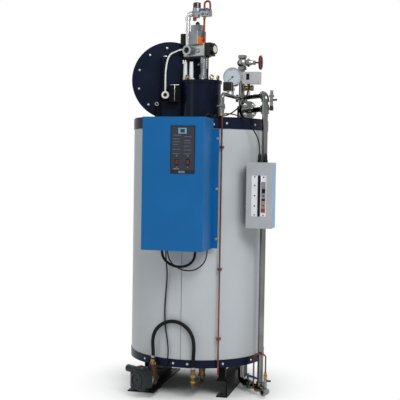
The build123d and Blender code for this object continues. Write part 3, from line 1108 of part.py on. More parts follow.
blow_lever = block(0, BLOW_LEVER_LENGTH, -BLOW_LEVER_WIDTH / 2, BLOW_LEVER_WIDTH / 2, 0, BLOW_LEVER_SHEET)
blow_lever += disc(BLOW_LEVER_HUB, 0, BLOW_LEVER_SHEET)
save("blowdown_lever", Plane(origin=(stem_x, stem_y, lever_bottom), x_dir=(blow_way[0], blow_way[1], 0),
                             z_dir=(0, 0, 1)) * blow_lever)

# Drain fitting: elbow with a beaded open mouth and an upright cock
drain_corner = along_blow(DRAIN_REACH, LINE_HEIGHT)
drain_way = Vector(-blow_way[0], blow_way[1], 0)
drain_end = Vector(*drain_corner) + drain_way * DRAIN_TURN
drain_mouth = Plane(origin=drain_end, z_dir=drain_way)
drain = bent_pipe([along_blow(TEE_HALF, LINE_HEIGHT), drain_corner, drain_end], COLUMN_RADIUS, DRAIN_BEND)
drain += drain_mouth * disc(FITTING_RADIUS, -FITTING_RADIUS / 2, 0)
drain -= drain_mouth * disc(DRAIN_BORE, -DRAIN_BORE_DEPTH, 0)
cock_place = along_blow(DRAIN_COCK_OFFSET, LINE_HEIGHT)[:2]
cock_top = LINE_HEIGHT + DRAIN_COCK_RISE
drain_lever_height = LINE_HEIGHT + DRAIN_LEVER_RISE
drain += cock(cock_place, LINE_HEIGHT, cock_top, DRAIN_COCK_RADIUS, drain_lever_height)
save("drain_fitting", drain)
save("drain_cock_lever", cock_lever(cock_place, DRAIN_COCK_RADIUS, drain_lever_height))

# Copper bypass from the top of the drain cock into the side of the tee
tee_middle = Vector(column_x, column_y, LINE_HEIGHT)
bypass_low = tee_middle + drain_way * BYPASS_SIDE
bypass_top = LINE_HEIGHT + BYPASS_RISE
save("drain_tube", bent_pipe([
    (*cock_place, cock_top), (*cock_place, bypass_top), (bypass_low.X, bypass_low.Y, bypass_top), bypass_low,
    tee_middle + drain_way * FITTING_RADIUS], BYPASS / 2, BYPASS_BEND))

# Feed pump: local x runs to the left, local y up and local z along the shaft from the motor to the head
pump = Plane(origin=(PUMP_X, -BODY_RADIUS - PUMP_FRONT, PUMP_AXIS_HEIGHT),
             x_dir=(-sin(radians(PUMP_ANGLE)), cos(radians(PUMP_ANGLE)), 0),
             z_dir=(cos(radians(PUMP_ANGLE)), sin(radians(PUMP_ANGLE)), 0))
foot_bottom = BRACKET_TOP - PUMP_AXIS_HEIGHT
terminal_top = PUMP_FRAME_HALF + TERMINAL_HEIGHT
terminal_back = PUMP_FRAME_LENGTH - TERMINAL_INSET
frame_body = block(-PUMP_FRAME_HALF, PUMP_FRAME_HALF, -PUMP_FRAME_HALF, PUMP_FRAME_HALF, 0, PUMP_FRAME_LENGTH)
pump_motor = fused(
    fillet(frame_body.edges().filter_by(Axis.Z), PUMP_FRAME_ROUND),
    turned([(0, -PUMP_SHIELD), (PUMP_BOSS_RADIUS, -PUMP_SHIELD), (PUMP_BOSS_RADIUS, -PUMP_SHIELD / 2),
            (PUMP_SHIELD_STEP, -PUMP_SHIELD / 2), (PUMP_SHIELD_STEP, -PUMP_SHIELD),
            (PUMP_SHIELD_RADIUS, -PUMP_SHIELD / 2), (PUMP_SHIELD_RADIUS, 0), (0, 0)]),
    block(-PUMP_FOOT_HALF, PUMP_FOOT_HALF, foot_bottom, 0, PUMP_FOOT_INSET,
          PUMP_FRAME_LENGTH - PUMP_FOOT_INSET),
    block(-TERMINAL_HALF, TERMINAL_HALF, 0, terminal_top, TERMINAL_INSET, terminal_back),
    rod((0, CAPACITOR_RISE, CAPACITOR_INSET), (CAPACITOR_REACH, CAPACITOR_RISE, CAPACITOR_INSET),
        CAPACITOR_RADIUS))
save("pump_motor", pump * pump_motor)

# Pump head: bronze casing behind the motor with the discharge neck and the suction boss
head_end = PUMP_FRAME_LENGTH + PUMP_HEAD_LENGTH
discharge = (DISCHARGE_X, -BODY_RADIUS + DISCHARGE_SETBACK)
pump_head = pump * turned([
    (0, PUMP_FRAME_LENGTH), (PUMP_HEAD_RADIUS, PUMP_FRAME_LENGTH),
    (PUMP_HEAD_RADIUS, head_end - PUMP_HEAD_EDGE),
    (PUMP_HEAD_RADIUS - PUMP_HEAD_EDGE, head_end), (0, head_end)])
pump_head += disc(DISCHARGE_NECK_RADIUS, PUMP_AXIS_HEIGHT, DISCHARGE_NECK_TOP, discharge)
pump_head += Pos(*discharge, 0) * hexagon(DISCHARGE_NUT_RADIUS, DISCHARGE_NECK_TOP,
                                          DISCHARGE_NECK_TOP + DISCHARGE_NUT_HEIGHT)
pump_head += disc(DISCHARGE_RADIUS, DISCHARGE_NECK_TOP, DISCHARGE_TOP, discharge)
suction_end = head_end + SUCTION_REACH
pump_head += pump * disc(SUCTION_RADIUS, head_end, suction_end)
pump_head -= pump * disc(SUCTION_BORE, suction_end - SUCTION_DEPTH, suction_end)
save("pump_head", pump_head)

# Pump bracket: tab on the end of the skid and a shelf under the motor
tab_front = -SKID_HALF_LENGTH - BRACKET_TAB
pump_bracket = block(-SKID_INNER - SKID_WIDTH, -SKID_INNER, tab_front, -SKID_HALF_LENGTH, 0, BRACKET_TOP)
pump_bracket += block(BRACKET_LEFT, BRACKET_RIGHT, -BODY_RADIUS - BRACKET_FRONT, -SKID_HALF_LENGTH,
                      BRACKET_TOP - BRACKET_PLATE, BRACKET_TOP)
save("pump_base", pump_bracket)

# Feed line: hose stem, pipe under the boiler and check valve with hexagon ends
feed_stem = (FEED_STEM_X, -BODY_RADIUS - FEED_STEM_FRONT)
feed_entry = (FEED_ENTRY_X, -BODY_RADIUS + FEED_ENTRY_SETBACK)
feed_line = bent_pipe([(*feed_stem, FEED_STEM_TOP), (*feed_stem, FEED_LINE_HEIGHT),
                       (*feed_entry, FEED_LINE_HEIGHT),
                       (*feed_entry, RING_FLOOR)], FEED_PIPE_RADIUS, FEED_BEND)
feed_line += disc(HOSE_SLEEVE_RADIUS, FEED_STEM_TOP - HOSE_SLEEVE, FEED_STEM_TOP, feed_stem)
feed_line += disc(CHECK_RADIUS, CHECK_BOTTOM, CHECK_TOP, feed_entry)
for nut_bottom in (CHECK_BOTTOM, CHECK_TOP - CHECK_NUT_HEIGHT):
    feed_line += Pos(*feed_entry, 0) * hexagon(CHECK_NUT_RADIUS, nut_bottom, nut_bottom + CHECK_NUT_HEIGHT)
save("feed_inlet", feed_line)


# Hose and cables: plain tubes, each bend as large as its two runs allow
def cord(name, diameter, route):
    points = [Vector(*point) for point in route]
    radii = widest_bends(points)
    print(name, "bend radii in diameters", [round(radius / diameter, 1) for radius in radii])
    save(name, bent_pipe(points, diameter / 2, radii))


def before_jacket(route, mark):
    """Route points from places in x, distances behind the front of the jacket and heights above a mark."""
    return [(x, -BODY_RADIUS + setback, mark + height) for x, setback, height in route]


cord("feed_hose", FEED_HOSE, [(*discharge, DISCHARGE_TOP)] + before_jacket(HOSE_ROUTE, DISCHARGE_TOP)
     + [(*feed_stem, FEED_STEM_TOP)])
cord("cable_bundle", BUNDLE, before_jacket(BUNDLE_ROUTE, CONTROL_BOTTOM))
cord("cable_loop", LOOP_CABLE, before_jacket(LOOP_ROUTE, CONTROL_BOTTOM))
entry_height = (PUMP_FRAME_HALF + terminal_top) / 2
pump_route = before_jacket(PUMP_ROUTE, CONTROL_BOTTOM) + before_jacket(PUMP_ROUTE_LOW, BASE_HEIGHT)
for lead in (PUMP_LEAD, 0):
    pump_route.append(pump.from_local_coords((TERMINAL_ENTRY, entry_height, terminal_back + lead)))
cord("pump_cable", PUMP_CABLE, pump_route)
gland_top = LEVEL_BOX_TOP + GLAND_HEIGHT
cord("level_cable", LEVEL_CABLE, before_jacket([LEVEL_START], TOP_HEIGHT)
     + [around(angle, BODY_RADIUS - setback, TOP_HEIGHT + height) for angle, setback, height in LEVEL_ROUTE]
     + [(*gland_places[0], gland_top + LEVEL_LEAD), (*gland_places[0], gland_top)])
switch_start = (switch_x + SWITCH_START[0], switch_y + SWITCH_START[1])
cord("switch_cable", SWITCH_CABLE, [(*switch_start, SWITCH_BOTTOM),
                                    (*switch_start, SWITCH_BOTTOM - SWITCH_LEAD)]
     + [(steam_x + x, steam_y + y, PLATE_TOP + height) for x, y, height in SWITCH_ROUTE]
     + before_jacket(SWITCH_ROUTE_LOW, TOP_HEIGHT))
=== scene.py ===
"""Small vertical once-through steam boiler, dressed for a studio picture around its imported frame.

The frame is in metres. Added pieces are drawn in millimetres and scaled when they are placed.
"""
import bmesh
import bpy
from math import asin, cos, degrees, pi, radians, sin
from mathutils import Matrix, Vector


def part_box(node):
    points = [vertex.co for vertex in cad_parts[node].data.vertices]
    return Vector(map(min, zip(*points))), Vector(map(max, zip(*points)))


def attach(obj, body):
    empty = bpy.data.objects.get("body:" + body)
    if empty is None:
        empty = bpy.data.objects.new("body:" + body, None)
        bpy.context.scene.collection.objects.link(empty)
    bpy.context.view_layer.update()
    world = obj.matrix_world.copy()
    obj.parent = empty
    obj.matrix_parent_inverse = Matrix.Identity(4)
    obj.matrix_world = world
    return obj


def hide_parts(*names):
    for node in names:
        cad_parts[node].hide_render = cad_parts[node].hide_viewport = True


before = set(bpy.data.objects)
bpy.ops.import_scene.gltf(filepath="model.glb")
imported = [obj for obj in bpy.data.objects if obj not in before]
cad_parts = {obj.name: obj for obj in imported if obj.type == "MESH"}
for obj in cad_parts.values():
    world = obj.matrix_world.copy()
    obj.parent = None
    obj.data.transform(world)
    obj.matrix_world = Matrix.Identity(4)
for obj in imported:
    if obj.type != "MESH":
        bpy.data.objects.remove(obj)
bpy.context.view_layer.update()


# Studio
# A pale seamless floor and a white surround, one large soft lamp beside the camera, a weak
# one at the left and one from behind, with the camera a little right of the front.
CAMERA_PLACE = (1.3064, -5.2396, 1.330)
CAMERA_TURN = 14.0
CAMERA_PITCH = 2.306
CAMERA_ROLL = 0.93
LENS_MM = 80.46
FLOOR_SIZE = 30.0
FLOOR_FADE_START = 0.25
FLOOR_FADE_END = 0.8
SURROUND_LIGHT = 0.46
GLOSS_SHARE = 0.42


def linear(colour):
    """Linear RGBA of an sRGB hex colour."""
    channels = [int(colour[place:place + 2], 16) / 255 for place in (1, 3, 5)]
    return (*[c / 12.92 if c <= 0.04045 else ((c + 0.055) / 1.055) ** 2.4 for c in channels], 1.0)


def add(tree, kind, settings, links=None):
    """A shader node with its settings, and links given as socket: (source node, output)."""
    node = tree.nodes.new("ShaderNode" + kind)
    for key, value in settings.items():
        if isinstance(key, int) or key in node.inputs:
            node.inputs[key].default_value = value
        else:
            setattr(node, key, value)
    for key, (source, output) in (links or {}).items():
        tree.links.new(source.outputs[output], node.inputs[key])
    return node


def seen_share(tree):
    """1 for rays that see the surround straight or through glass, GLOSS_SHARE for mirrored ones."""
    path = add(tree, "LightPath", {})
    mirrored = add(tree, "Math", {"operation": "MULTIPLY", 1: GLOSS_SHARE}, {0: (path, "Is Glossy Ray")})
    direct = add(tree, "Math", {"operation": "MAXIMUM"},
                 {0: (path, "Is Camera Ray"), 1: (path, "Is Transmission Ray")})
    return add(tree, "Math", {"operation": "MAXIMUM"}, {0: (mirrored, "Value"), 1: (direct, "Value")})


scene = bpy.context.scene
scene.view_settings.view_transform = "Standard"

camera_data = bpy.data.cameras.new("camera")
camera_data.lens = LENS_MM
camera = bpy.data.objects.new("camera", camera_data)
scene.collection.objects.link(camera)
camera.matrix_world = (Matrix.Translation(CAMERA_PLACE) @ Matrix.Rotation(radians(CAMERA_TURN), 4, "Z")
                       @ Matrix.Rotation(radians(90 - CAMERA_PITCH), 4, "X")
                       @ Matrix.Rotation(radians(CAMERA_ROLL), 4, "Z"))
scene.camera = camera

world = bpy.data.worlds.new("surround")
scene.world = world
world.use_nodes = True
sky = world.node_tree
sky.nodes.clear()
ambient = add(sky, "Background", {"Color": linear("#F3F6FA"), "Strength": SURROUND_LIGHT})
white = add(sky, "Background", {"Color": (1, 1, 1, 1), "Strength": 1.0})
either = add(sky, "MixShader", {}, {0: (seen_share(sky), "Value"), 1: (ambient, "Background"),
                                    2: (white, "Background")})
add(sky, "OutputWorld", {}, {"Surface": (either, "Shader")})

floor_mesh = bpy.data.meshes.new("floor")
half_floor = FLOOR_SIZE / 2
floor_mesh.from_pydata([(x * half_floor, y * half_floor, 0) for x, y in ((-1, -1), (1, -1), (1, 1), (-1, 1))],
                       [], [(0, 1, 2, 3)])
floor = bpy.data.objects.new("floor", floor_mesh)
scene.collection.objects.link(floor)
floor_paint = bpy.data.materials.new("pale_studio_floor")
floor_paint.use_nodes = True
ground = floor_paint.node_tree
ground.nodes.clear()
matt = add(ground, "BsdfDiffuse", {"Color": linear("#F7F7F6")})
glow = add(ground, "Emission", {"Color": (1, 1, 1, 1), "Strength": 1.0})
spot = add(ground, "TexCoord", {})
reach = add(ground, "VectorMath", {"operation": "LENGTH"}, {0: (spot, "Object")})
fade = add(ground, "MapRange", {"From Min": FLOOR_FADE_START, "From Max": FLOOR_FADE_END,
                                "interpolation_type": "SMOOTHSTEP"}, {"Value": (reach, "Value")})
shown = add(ground, "Math", {"operation": "MULTIPLY"},
            {0: (fade, "Result"), 1: (seen_share(ground), "Value")})
floor_mix = add(ground, "MixShader", {}, {0: (shown, "Value"), 1: (matt, "BSDF"), 2: (glow, "Emission")})
add(ground, "OutputMaterial", {}, {"Surface": (floor_mix, "Shader")})
floor_mesh.materials.append(floor_paint)

SOFT_LAMPS = {
    "front_lamp": ((3.1, -4.0, 4.6), (0.1, -0.2, 1.1), (3.0, 2.4), 215),
    "left_lamp": ((-3.4, -3.2, 2.2), (0, -0.2, 1.2), (1.6, 3.0), 22),
    "back_lamp": ((-1.2, 3.6, 3.4), (0, 0, 1.4), (2.4, 1.6), 60),
}
for lamp_name, (place, aim, size, power) in SOFT_LAMPS.items():
    lamp_data = bpy.data.lights.new(lamp_name, "AREA")
    lamp_data.shape = "RECTANGLE"
    lamp_data.size, lamp_data.size_y = size
    lamp_data.energy = power
    lamp = bpy.data.objects.new(lamp_name, lamp_data)
    lamp.location = place
    lamp.rotation_euler = (Vector(aim) - Vector(place)).to_track_quat("-Z", "Y").to_euler()
    scene.collection.objects.link(lamp)


# Skids
# Two black painted steel channels with posts welded on, which carry the base ring.
# Brushed-on gloss enamel, dusty on the faces that look up.
DUST = "#77756F"
DUST_SLOPE = 0.75
DRIFT_START = 0.35          # share of a pattern at which the tone begins to drift
DRIFT_END = 0.75
MM_PER_M = 1000.0


def finish(name, colour, worn, cloud_mm, roughness, spread, grain_mm, grain_height_mm,
           dust=0.0, spangle=False, **sockets):
    """A surface of one make: a tone that drifts towards a worn one, uneven gloss and a fine grain."""
    material = bpy.data.materials.new(name)
    material.use_nodes = True
    tree = material.node_tree
    shader = tree.nodes["Principled BSDF"]
    for socket, value in sockets.items():
        shader.inputs[socket.replace("_", " ")].default_value = value
    spot = (add(tree, "TexCoord", {}), "Object")
    clouds = {"Scale": MM_PER_M / cloud_mm}
    if spangle:
        crystals = add(tree, "TexVoronoi", clouds, {"Vector": spot})
        shade = (add(tree, "RGBToBW", {}, {"Color": (crystals, "Color")}), "Val")
    else:
        shade = (add(tree, "TexNoise", {**clouds, "Detail": 4.0}, {"Vector": spot}), "Fac")
    drift = add(tree, "MapRange", {"From Min": DRIFT_START, "From Max": DRIFT_END}, {"Value": shade})
    tone = add(tree, "MixRGB", {"Color1": linear(colour), "Color2": linear(worn)}, {"Fac": (drift, "Result")})
    gloss = add(tree, "MapRange", {"To Min": roughness - spread, "To Max": roughness + spread},
                {"Value": shade})
    if dust:
        facing_up = add(tree, "SeparateXYZ", {}, {"Vector": (add(tree, "NewGeometry", {}), "Normal")})
        lies = add(tree, "MapRange", {"From Min": DUST_SLOPE, "From Max": 1.0, "To Max": dust},
                   {"Value": (facing_up, "Z")})
        tone = add(tree, "MixRGB", {"Color2": linear(DUST)},
                   {"Fac": (lies, "Result"), "Color1": (tone, "Color")})
    grain = add(tree, "TexNoise", {"Scale": MM_PER_M / grain_mm, "Detail": 2.0}, {"Vector": spot})
    bump = add(tree, "Bump", {"Strength": 1.0, "Distance": grain_height_mm / MM_PER_M},
               {"Height": (grain, "Fac")})
    tree.links.new(tone.outputs["Color"], shader.inputs["Base Color"])
    tree.links.new(gloss.outputs["Result"], shader.inputs["Roughness"])
    tree.links.new(bump.outputs["Normal"], shader.inputs["Normal"])
    return material


def dress(material, *nodes):
    """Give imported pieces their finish."""
    for node in nodes:
        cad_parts[node].material_slots[0].material = material


# Deep black with a soft shine, and a grey bloom of dust where it lies level
black_enamel = finish("black_enamel", "#070708", "#0D0E0F", 140, 0.42, 0.08, 3.0, 0.06, dust=0.02,
                      Specular_IOR_Level=0.06)
dress(black_enamel, "left_skid", "right_skid", "bottom_plate")


# Base ring and top band
# Rolled steel strips in navy gloss enamel that clamp the two ends of the jacket.
# Zinc plated screws go round each strip, two of them close beside the seam.
SCREW_HEAD = 4.8
SCREW_SEAM_ANGLE = 5.9
SCREW_COUNT = 13
BAND_BOLT_ANGLE = 23.9
BAND_BOLT_HEIGHT = 1553.0
WASHER_RADIUS = 1.35        # this and the next two in head radii, as on common hexagon screws
WASHER_SHEET = 0.18
HEAD_PROFILE = ((0, WASHER_SHEET), (1, WASHER_SHEET), (1, 0.7), (0.86, 0.85), (0, 0.88))
POINT_RADIUS = 1e-6
CREASE_ANGLE = 35.0

# Nearly black blue with a clear wet shine
navy_enamel = finish("navy_enamel", "#0C1528", "#121B2E", 140, 0.22, 0.05, 3.0, 0.03, dust=0.02,
                     Specular_IOR_Level=0.1)
# Bright silver with a faint cloud, as zinc comes from the bath
zinc_plate = finish("zinc_plate", "#D4D6D6", "#B9BBBA", 12, 0.28, 0.06, 1.5, 0.02, Metallic=1.0)
dress(navy_enamel, "base_ring", "top_band")


def corners(node):
    """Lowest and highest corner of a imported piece, in millimetres."""
    return [corner * MM_PER_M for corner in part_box(node)]


def around(angle, radius, height):
    """Point at an angle from the front towards the right, and the way out from the axis there."""
    out = Vector((sin(radians(angle)), -cos(radians(angle)), 0))
    return out * radius + Vector((0, 0, height)), out


def ring(bm, middle, side, other, radius, steps):
    """Add points evenly round a circle in two crossing directions, or one point where it closes."""
    if radius < POINT_RADIUS:
        return [bm.verts.new(middle)]
    angles = [2 * pi * step / steps for step in range(steps)]
    return [bm.verts.new(middle + (side * cos(angle) + other * sin(angle)) * radius) for angle in angles]


def turn(bm, profile, at, along=(0, 0, 1), steps=24):
    """Add a turned form: (radius, height) pairs about an axis through a point."""
    way = Vector(along).normalized()
    side = way.orthogonal().normalized()
    other = way.cross(side)
    rings = [ring(bm, Vector(at) + way * height, side, other, radius, steps) for radius, height in profile]
    for first, second in zip(rings, rings[1:]):
        for step in range(steps):
            after = (step + 1) % steps
            loop = [first[step % len(first)], first[after % len(first)],
                    second[after % len(second)], second[step % len(second)]]
            loop = list(dict.fromkeys(loop))
            if len(loop) > 2:
                bm.faces.new(loop)


def drum(bm, radius, low, high, at, along=(0, 0, 1), edge=0.0, steps=24):
    """Add a solid round bar with its two rims broken by a small edge."""
    profile = [(0, low), (radius, low), (radius, high), (0, high)]
    if edge:
        rim = radius - edge
        profile[1:3] = [(rim, low), (radius, low + edge), (radius, high - edge), (rim, high)]
    turn(bm, profile, at, along, steps)


def hex_screw(bm, at, along, across):
    """Add a hexagon head on its washer, across being the radius of the head's corners."""
    drum(bm, across * WASHER_RADIUS, 0, across * WASHER_SHEET, at, along, steps=20)
    turn(bm, [(across * radius, across * height) for radius, height in HEAD_PROFILE], at, along, 6)


def piece(name, bm, material, body="boiler"):
    """Turn a mesh drawn in millimetres into a piece that rides on a body."""
    bmesh.ops.recalc_face_normals(bm, faces=bm.faces)
    mesh = bpy.data.meshes.new(name)
    bm.to_mesh(mesh)
    bm.free()
    mesh.transform(Matrix.Scale(1 / MM_PER_M, 4))
    mesh.shade_smooth()
    mesh.set_sharp_from_angle(angle=radians(CREASE_ANGLE))
    mesh.materials.append(material)
    made = bpy.data.objects.new(name, mesh)
    scene.collection.objects.link(made)
    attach(made, body)


screw_step = (360 - 2 * SCREW_SEAM_ANGLE) / (SCREW_COUNT - 1)
for strip in ("base_ring", "top_band"):
    low, high = corners(strip)
    strip_screws = bmesh.new()
    for number in range(SCREW_COUNT):
        hex_screw(strip_screws, *around(SCREW_SEAM_ANGLE + number * screw_step, high.x, (low.z + high.z) / 2),
                  SCREW_HEAD)
    if strip == "top_band":
        hex_screw(strip_screws, *around(BAND_BOLT_ANGLE, high.x, BAND_BOLT_HEIGHT), SCREW_HEAD)
    piece(strip + "_screws", strip_screws, zinc_plate)


# Jacket
# Light grey stoved enamel on rolled sheet steel, with a butt seam down the front and the back.
# The sheet is a little wavy, which shows in its soft reflections, and the seam is filled with sealant.
SEAM_HALF_WIDTH = 1.3
SEAM_DEPTH = 0.8
SEAM_FILL = 0.5
SEAM_SINK = 0.2

# Cool light grey, satin, with long soft waves in the sheet
jacket_enamel = finish("jacket_enamel", "#B4B9BC", "#ABAFB0", 420, 0.36, 0.05, 160.0, 0.5,
                       Specular_IOR_Level=0.4)
# Dull dark grey that drinks the light
sealant = finish("seam_sealant", "#4E5254", "#3F4345", 40, 0.7, 0.1, 3.0, 0.1)
dress(jacket_enamel, "jacket")


def block(bm, low, high, edge=0.0, place=None):
    """Add a box between two corners with rounded edges, in the frame that place gives."""
    middle = [(a + b) / 2 for a, b in zip(low, high)]
    size = [b - a for a, b in zip(low, high)]
    verts = bmesh.ops.create_cube(bm, size=1.0, matrix=Matrix.Translation(middle)
                                  @ Matrix.Diagonal((*size, 1)))["verts"]
    if edge:
        edges = list({line for vert in verts for line in vert.link_edges})
        verts = bmesh.ops.bevel(bm, geom=edges, offset=edge, segments=2, profile=0.5, affect="EDGES")["verts"]
    if place:
        bmesh.ops.transform(bm, matrix=place, verts=verts)


seam_low, seam_high = corners("base_ring")[1].z, corners("top_band")[0].z
jacket_radius = corners("jacket")[1].y
seam_bed = jacket_radius - SEAM_DEPTH
seams = bmesh.new()
for side in (-1, 1):
    faces = sorted((side * (seam_bed - SEAM_SINK), side * (seam_bed + SEAM_FILL)))
    block(seams, (-SEAM_HALF_WIDTH, faces[0], seam_low), (SEAM_HALF_WIDTH, faces[1], seam_high))
piece("seam_sealant", seams, sealant)


# End plates and flue spigot
# Black painted plates close the two ends; the flue leaves at the back through a galvanised spigot
# with a rolled collar, cut to the round of the jacket.

# Grey metal with flat crystals, each a little lighter or darker than its neighbours
galvanised = finish("galvanised_steel", "#8B8E8C", "#6A6D6B", 14, 0.3, 0.08, 9.0, 0.05, spangle=True,
                    Metallic=1.0)
dress(black_enamel, "top_plate")
dress(galvanised, "flue_spigot")


# Burner drum and cover
# A rolled steel drum in the same navy enamel with a flanged cover, held down by bolts all round.
# Three of them have brass eye nuts, by which the burner is lifted out.
COVER_SHEET = 8.0
COVER_BOLTS = 12
COVER_BOLT_START = -43.5
COVER_BOLT_RADIUS = 107.0
COVER_BOLT_HEAD = 7.5
EYE_NUTS = (0, 3, 4)
BOOT_BESIDE = 11            # no bolt here, under the left ignition boot
EYE_RADIUS = 11.5
EYE_BAR = 4.5
EYE_FOOT_RADIUS = 8.0
EYE_FOOT_RIM = 5.0
EYE_FOOT_HEIGHT = 8.0

# Warm yellow metal, half bright
brass = finish("brass", "#B39660", "#785F38", 60, 0.28, 0.08, 8.0, 0.03, Metallic=1.0)
dress(navy_enamel, "burner_drum", "burner_cover")


def facing(origin, bearing):
    """Frame of an upright face: x along it, y up and z out, turned from the front towards the right."""
    angle = radians(bearing)
    return Matrix.Translation(origin) @ Matrix(((cos(angle), 0, sin(angle)), (sin(angle), 0, -cos(angle)),
                                                (0, 1, 0))).to_4x4()


def tube(bm, points, radius, closed=False, steps=12):
    """Add a round bar along points, either closed into a ring or capped."""
    points = [Vector(point) for point in points]
    count = len(points)
    rings, side = [], None
    for number, point in enumerate(points):
        before = points[number - 1] if closed or number else point
        after = points[(number + 1) % count] if closed or number < count - 1 else point
        way = (after - before).normalized()
        side = way.orthogonal() if side is None else side - way * side.dot(way)
        side.normalize()
        rings.append(ring(bm, point, side, way.cross(side), radius, steps))
    for first, second in zip(rings, rings[1:] + rings[:1] if closed else rings[1:]):
        for step in range(steps):
            after = (step + 1) % steps
            bm.faces.new((first[step], first[after], second[after], second[step]))
    if not closed:
        bm.faces.new(rings[0])
        bm.faces.new(rings[-1])


def eye_ring(bm, place, radius, bar, steps=24):
    """Add a round eye that lies in a face's frame, round its origin."""
    tube(bm, [place @ Vector((radius * cos(2 * pi * step / steps), radius * sin(2 * pi * step / steps), 0))
              for step in range(steps)], bar, closed=True)


cover_top = corners("burner_drum")[1].z + COVER_SHEET
cover_bolts, eye_nuts = bmesh.new(), bmesh.new()
for number in range(COVER_BOLTS):
    angle = COVER_BOLT_START + number * 360 / COVER_BOLTS
    foot = around(angle, COVER_BOLT_RADIUS, cover_top)[0]
    if number in EYE_NUTS:
        turn(eye_nuts, [(0, 0), (EYE_FOOT_RADIUS, 0), (EYE_FOOT_RADIUS, EYE_FOOT_RIM),
                        (EYE_BAR, EYE_FOOT_HEIGHT), (0, EYE_FOOT_HEIGHT)], foot)
        eye_ring(eye_nuts, facing(foot + Vector((0, 0, EYE_RADIUS + EYE_BAR)), angle), EYE_RADIUS, EYE_BAR)
    elif number != BOOT_BESIDE:
        hex_screw(cover_bolts, foot, (0, 0, 1), COVER_BOLT_HEAD)
piece("burner_cover_bolts", cover_bolts, zinc_plate)
piece("burner_eye_nuts", eye_nuts, brass)


# Blower
# A welded fan casing in navy enamel behind a round bolted side plate, with its motor at the back.
# A small lifting eye with a stay rod stands at the lower left of the plate.
BLOWER_CENTRE = (-212.0, 57.0, 1837.0)
BLOWER_TURN = 20.0
PLATE_BOLTS = 11
PLATE_BOLT_RADIUS = 200.0
PLATE_BOLT_START = 97.0
PLATE_BOLT_STEP = 32.7
PLATE_BOLT_HEAD = 4.8
STAY_EYE = (-82.0, -144.0)
STAY_FOOT = (-98.0, -214.0)
STAY_BAR = 4.0
STAY_EYE_RADIUS = 10.0
STAY_LEAN = 2.0

# Bright bare steel, a little scratched
steel = finish("bright_steel", "#C4C5C4", "#999A98", 25, 0.3, 0.08, 2.0, 0.03, Metallic=1.0)
dress(navy_enamel, "blower_casing", "blower_side_plate")
dress(black_enamel, "blower_motor")
blower = facing(BLOWER_CENTRE, BLOWER_TURN)


def front_of(node, place):
    """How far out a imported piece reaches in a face's frame."""
    inverse = place.inverted()
    return max((inverse @ (vert.co * MM_PER_M)).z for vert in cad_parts[node].data.vertices)


blower_out = blower.to_3x3() @ Vector((0, 0, 1))
plate_front = front_of("blower_side_plate", blower)
plate_bolts = bmesh.new()
for number in range(PLATE_BOLTS):
    angle = radians(PLATE_BOLT_START + number * PLATE_BOLT_STEP)
    hex_screw(plate_bolts, blower @ Vector((PLATE_BOLT_RADIUS * cos(angle), PLATE_BOLT_RADIUS * sin(angle),
                                            plate_front)), blower_out, PLATE_BOLT_HEAD)
piece("blower_plate_bolts", plate_bolts, zinc_plate)
stay = bmesh.new()
stay_depth = plate_front + STAY_BAR
eye_ring(stay, blower @ Matrix.Translation((*STAY_EYE, stay_depth)), STAY_EYE_RADIUS, STAY_BAR)
piece("blower_stay_eye", stay, steel)
stay_rod = bmesh.new()
tube(stay_rod, [blower @ Vector((x, y, stay_depth)) for x, y in
                ((STAY_EYE[0] - STAY_LEAN, STAY_EYE[1] - STAY_EYE_RADIUS), STAY_FOOT)], STAY_BAR)
piece("blower_stay_rod", stay_rod, black_enamel)


# Air duct and ignition transformer
# The duct carries the fan's air into the drum; a black transformer with folded steel edges hangs on it.
# A small steel bracket holds the signal tube at the duct's top corner.
TRANSFORMER_FRONT = 146.0
TRANSFORMER_LEFT = -18.0
TRANSFORMER_RIGHT = 45.0
TRANSFORMER_LOW = -140.0
TRANSFORMER_TOP = -36.0
TRANSFORMER_LAP = 13.0
EDGE_STRIP = 2.6
EDGE_INSET = 4.0
EDGE_PROUD = 0.6
TOP_EDGE_PROUD = 0.8
DUCT_FRONT = 60.0
BRACKET = ((-51.0, 138.5), (-27.0, 143.0))
BRACKET_SHEET = 1.5
SHEET_EDGE = 0.4
DEEP_SEAT = 1.0             # how far the thicker trim reaches into what carries it

dress(navy_enamel, "air_duct")
dress(black_enamel, "ignition_transformer")
folds = bmesh.new()
fold_seat = TRANSFORMER_FRONT - DEEP_SEAT
block(folds, (TRANSFORMER_LEFT + EDGE_INSET, TRANSFORMER_TOP - EDGE_STRIP, fold_seat),
      (TRANSFORMER_RIGHT - EDGE_INSET, TRANSFORMER_TOP + EDGE_PROUD, TRANSFORMER_FRONT + TOP_EDGE_PROUD),
      SHEET_EDGE, blower)
block(folds, (TRANSFORMER_LAP, TRANSFORMER_LOW + EDGE_INSET, fold_seat),
      (TRANSFORMER_LAP + EDGE_STRIP, TRANSFORMER_TOP - EDGE_STRIP, TRANSFORMER_FRONT + EDGE_PROUD),
      SHEET_EDGE, blower)
block(folds, (*BRACKET[0], DUCT_FRONT - DEEP_SEAT), (*BRACKET[1], DUCT_FRONT + BRACKET_SHEET),
      SHEET_EDGE, blower)
piece("transformer_edges", folds, steel)


# Air signal line
# White plastic tube from a tap on the duct up to the gas valve, pushed on its two ends.
# The tap's ring stands open to the front; a dark disc in it is painted shade for the unlit hollow.
TAP_CENTRE = (-42.0, -99.0)
TAP_HOLE = 10.5
TAP_SEAT = 146.0
TAP_DEPTH = 3.4

# Milky white with a soft gloss
white_tube = finish("white_tube", "#E3E4E2", "#D3D4D0", 90, 0.35, 0.05, 6.0, 0.02)
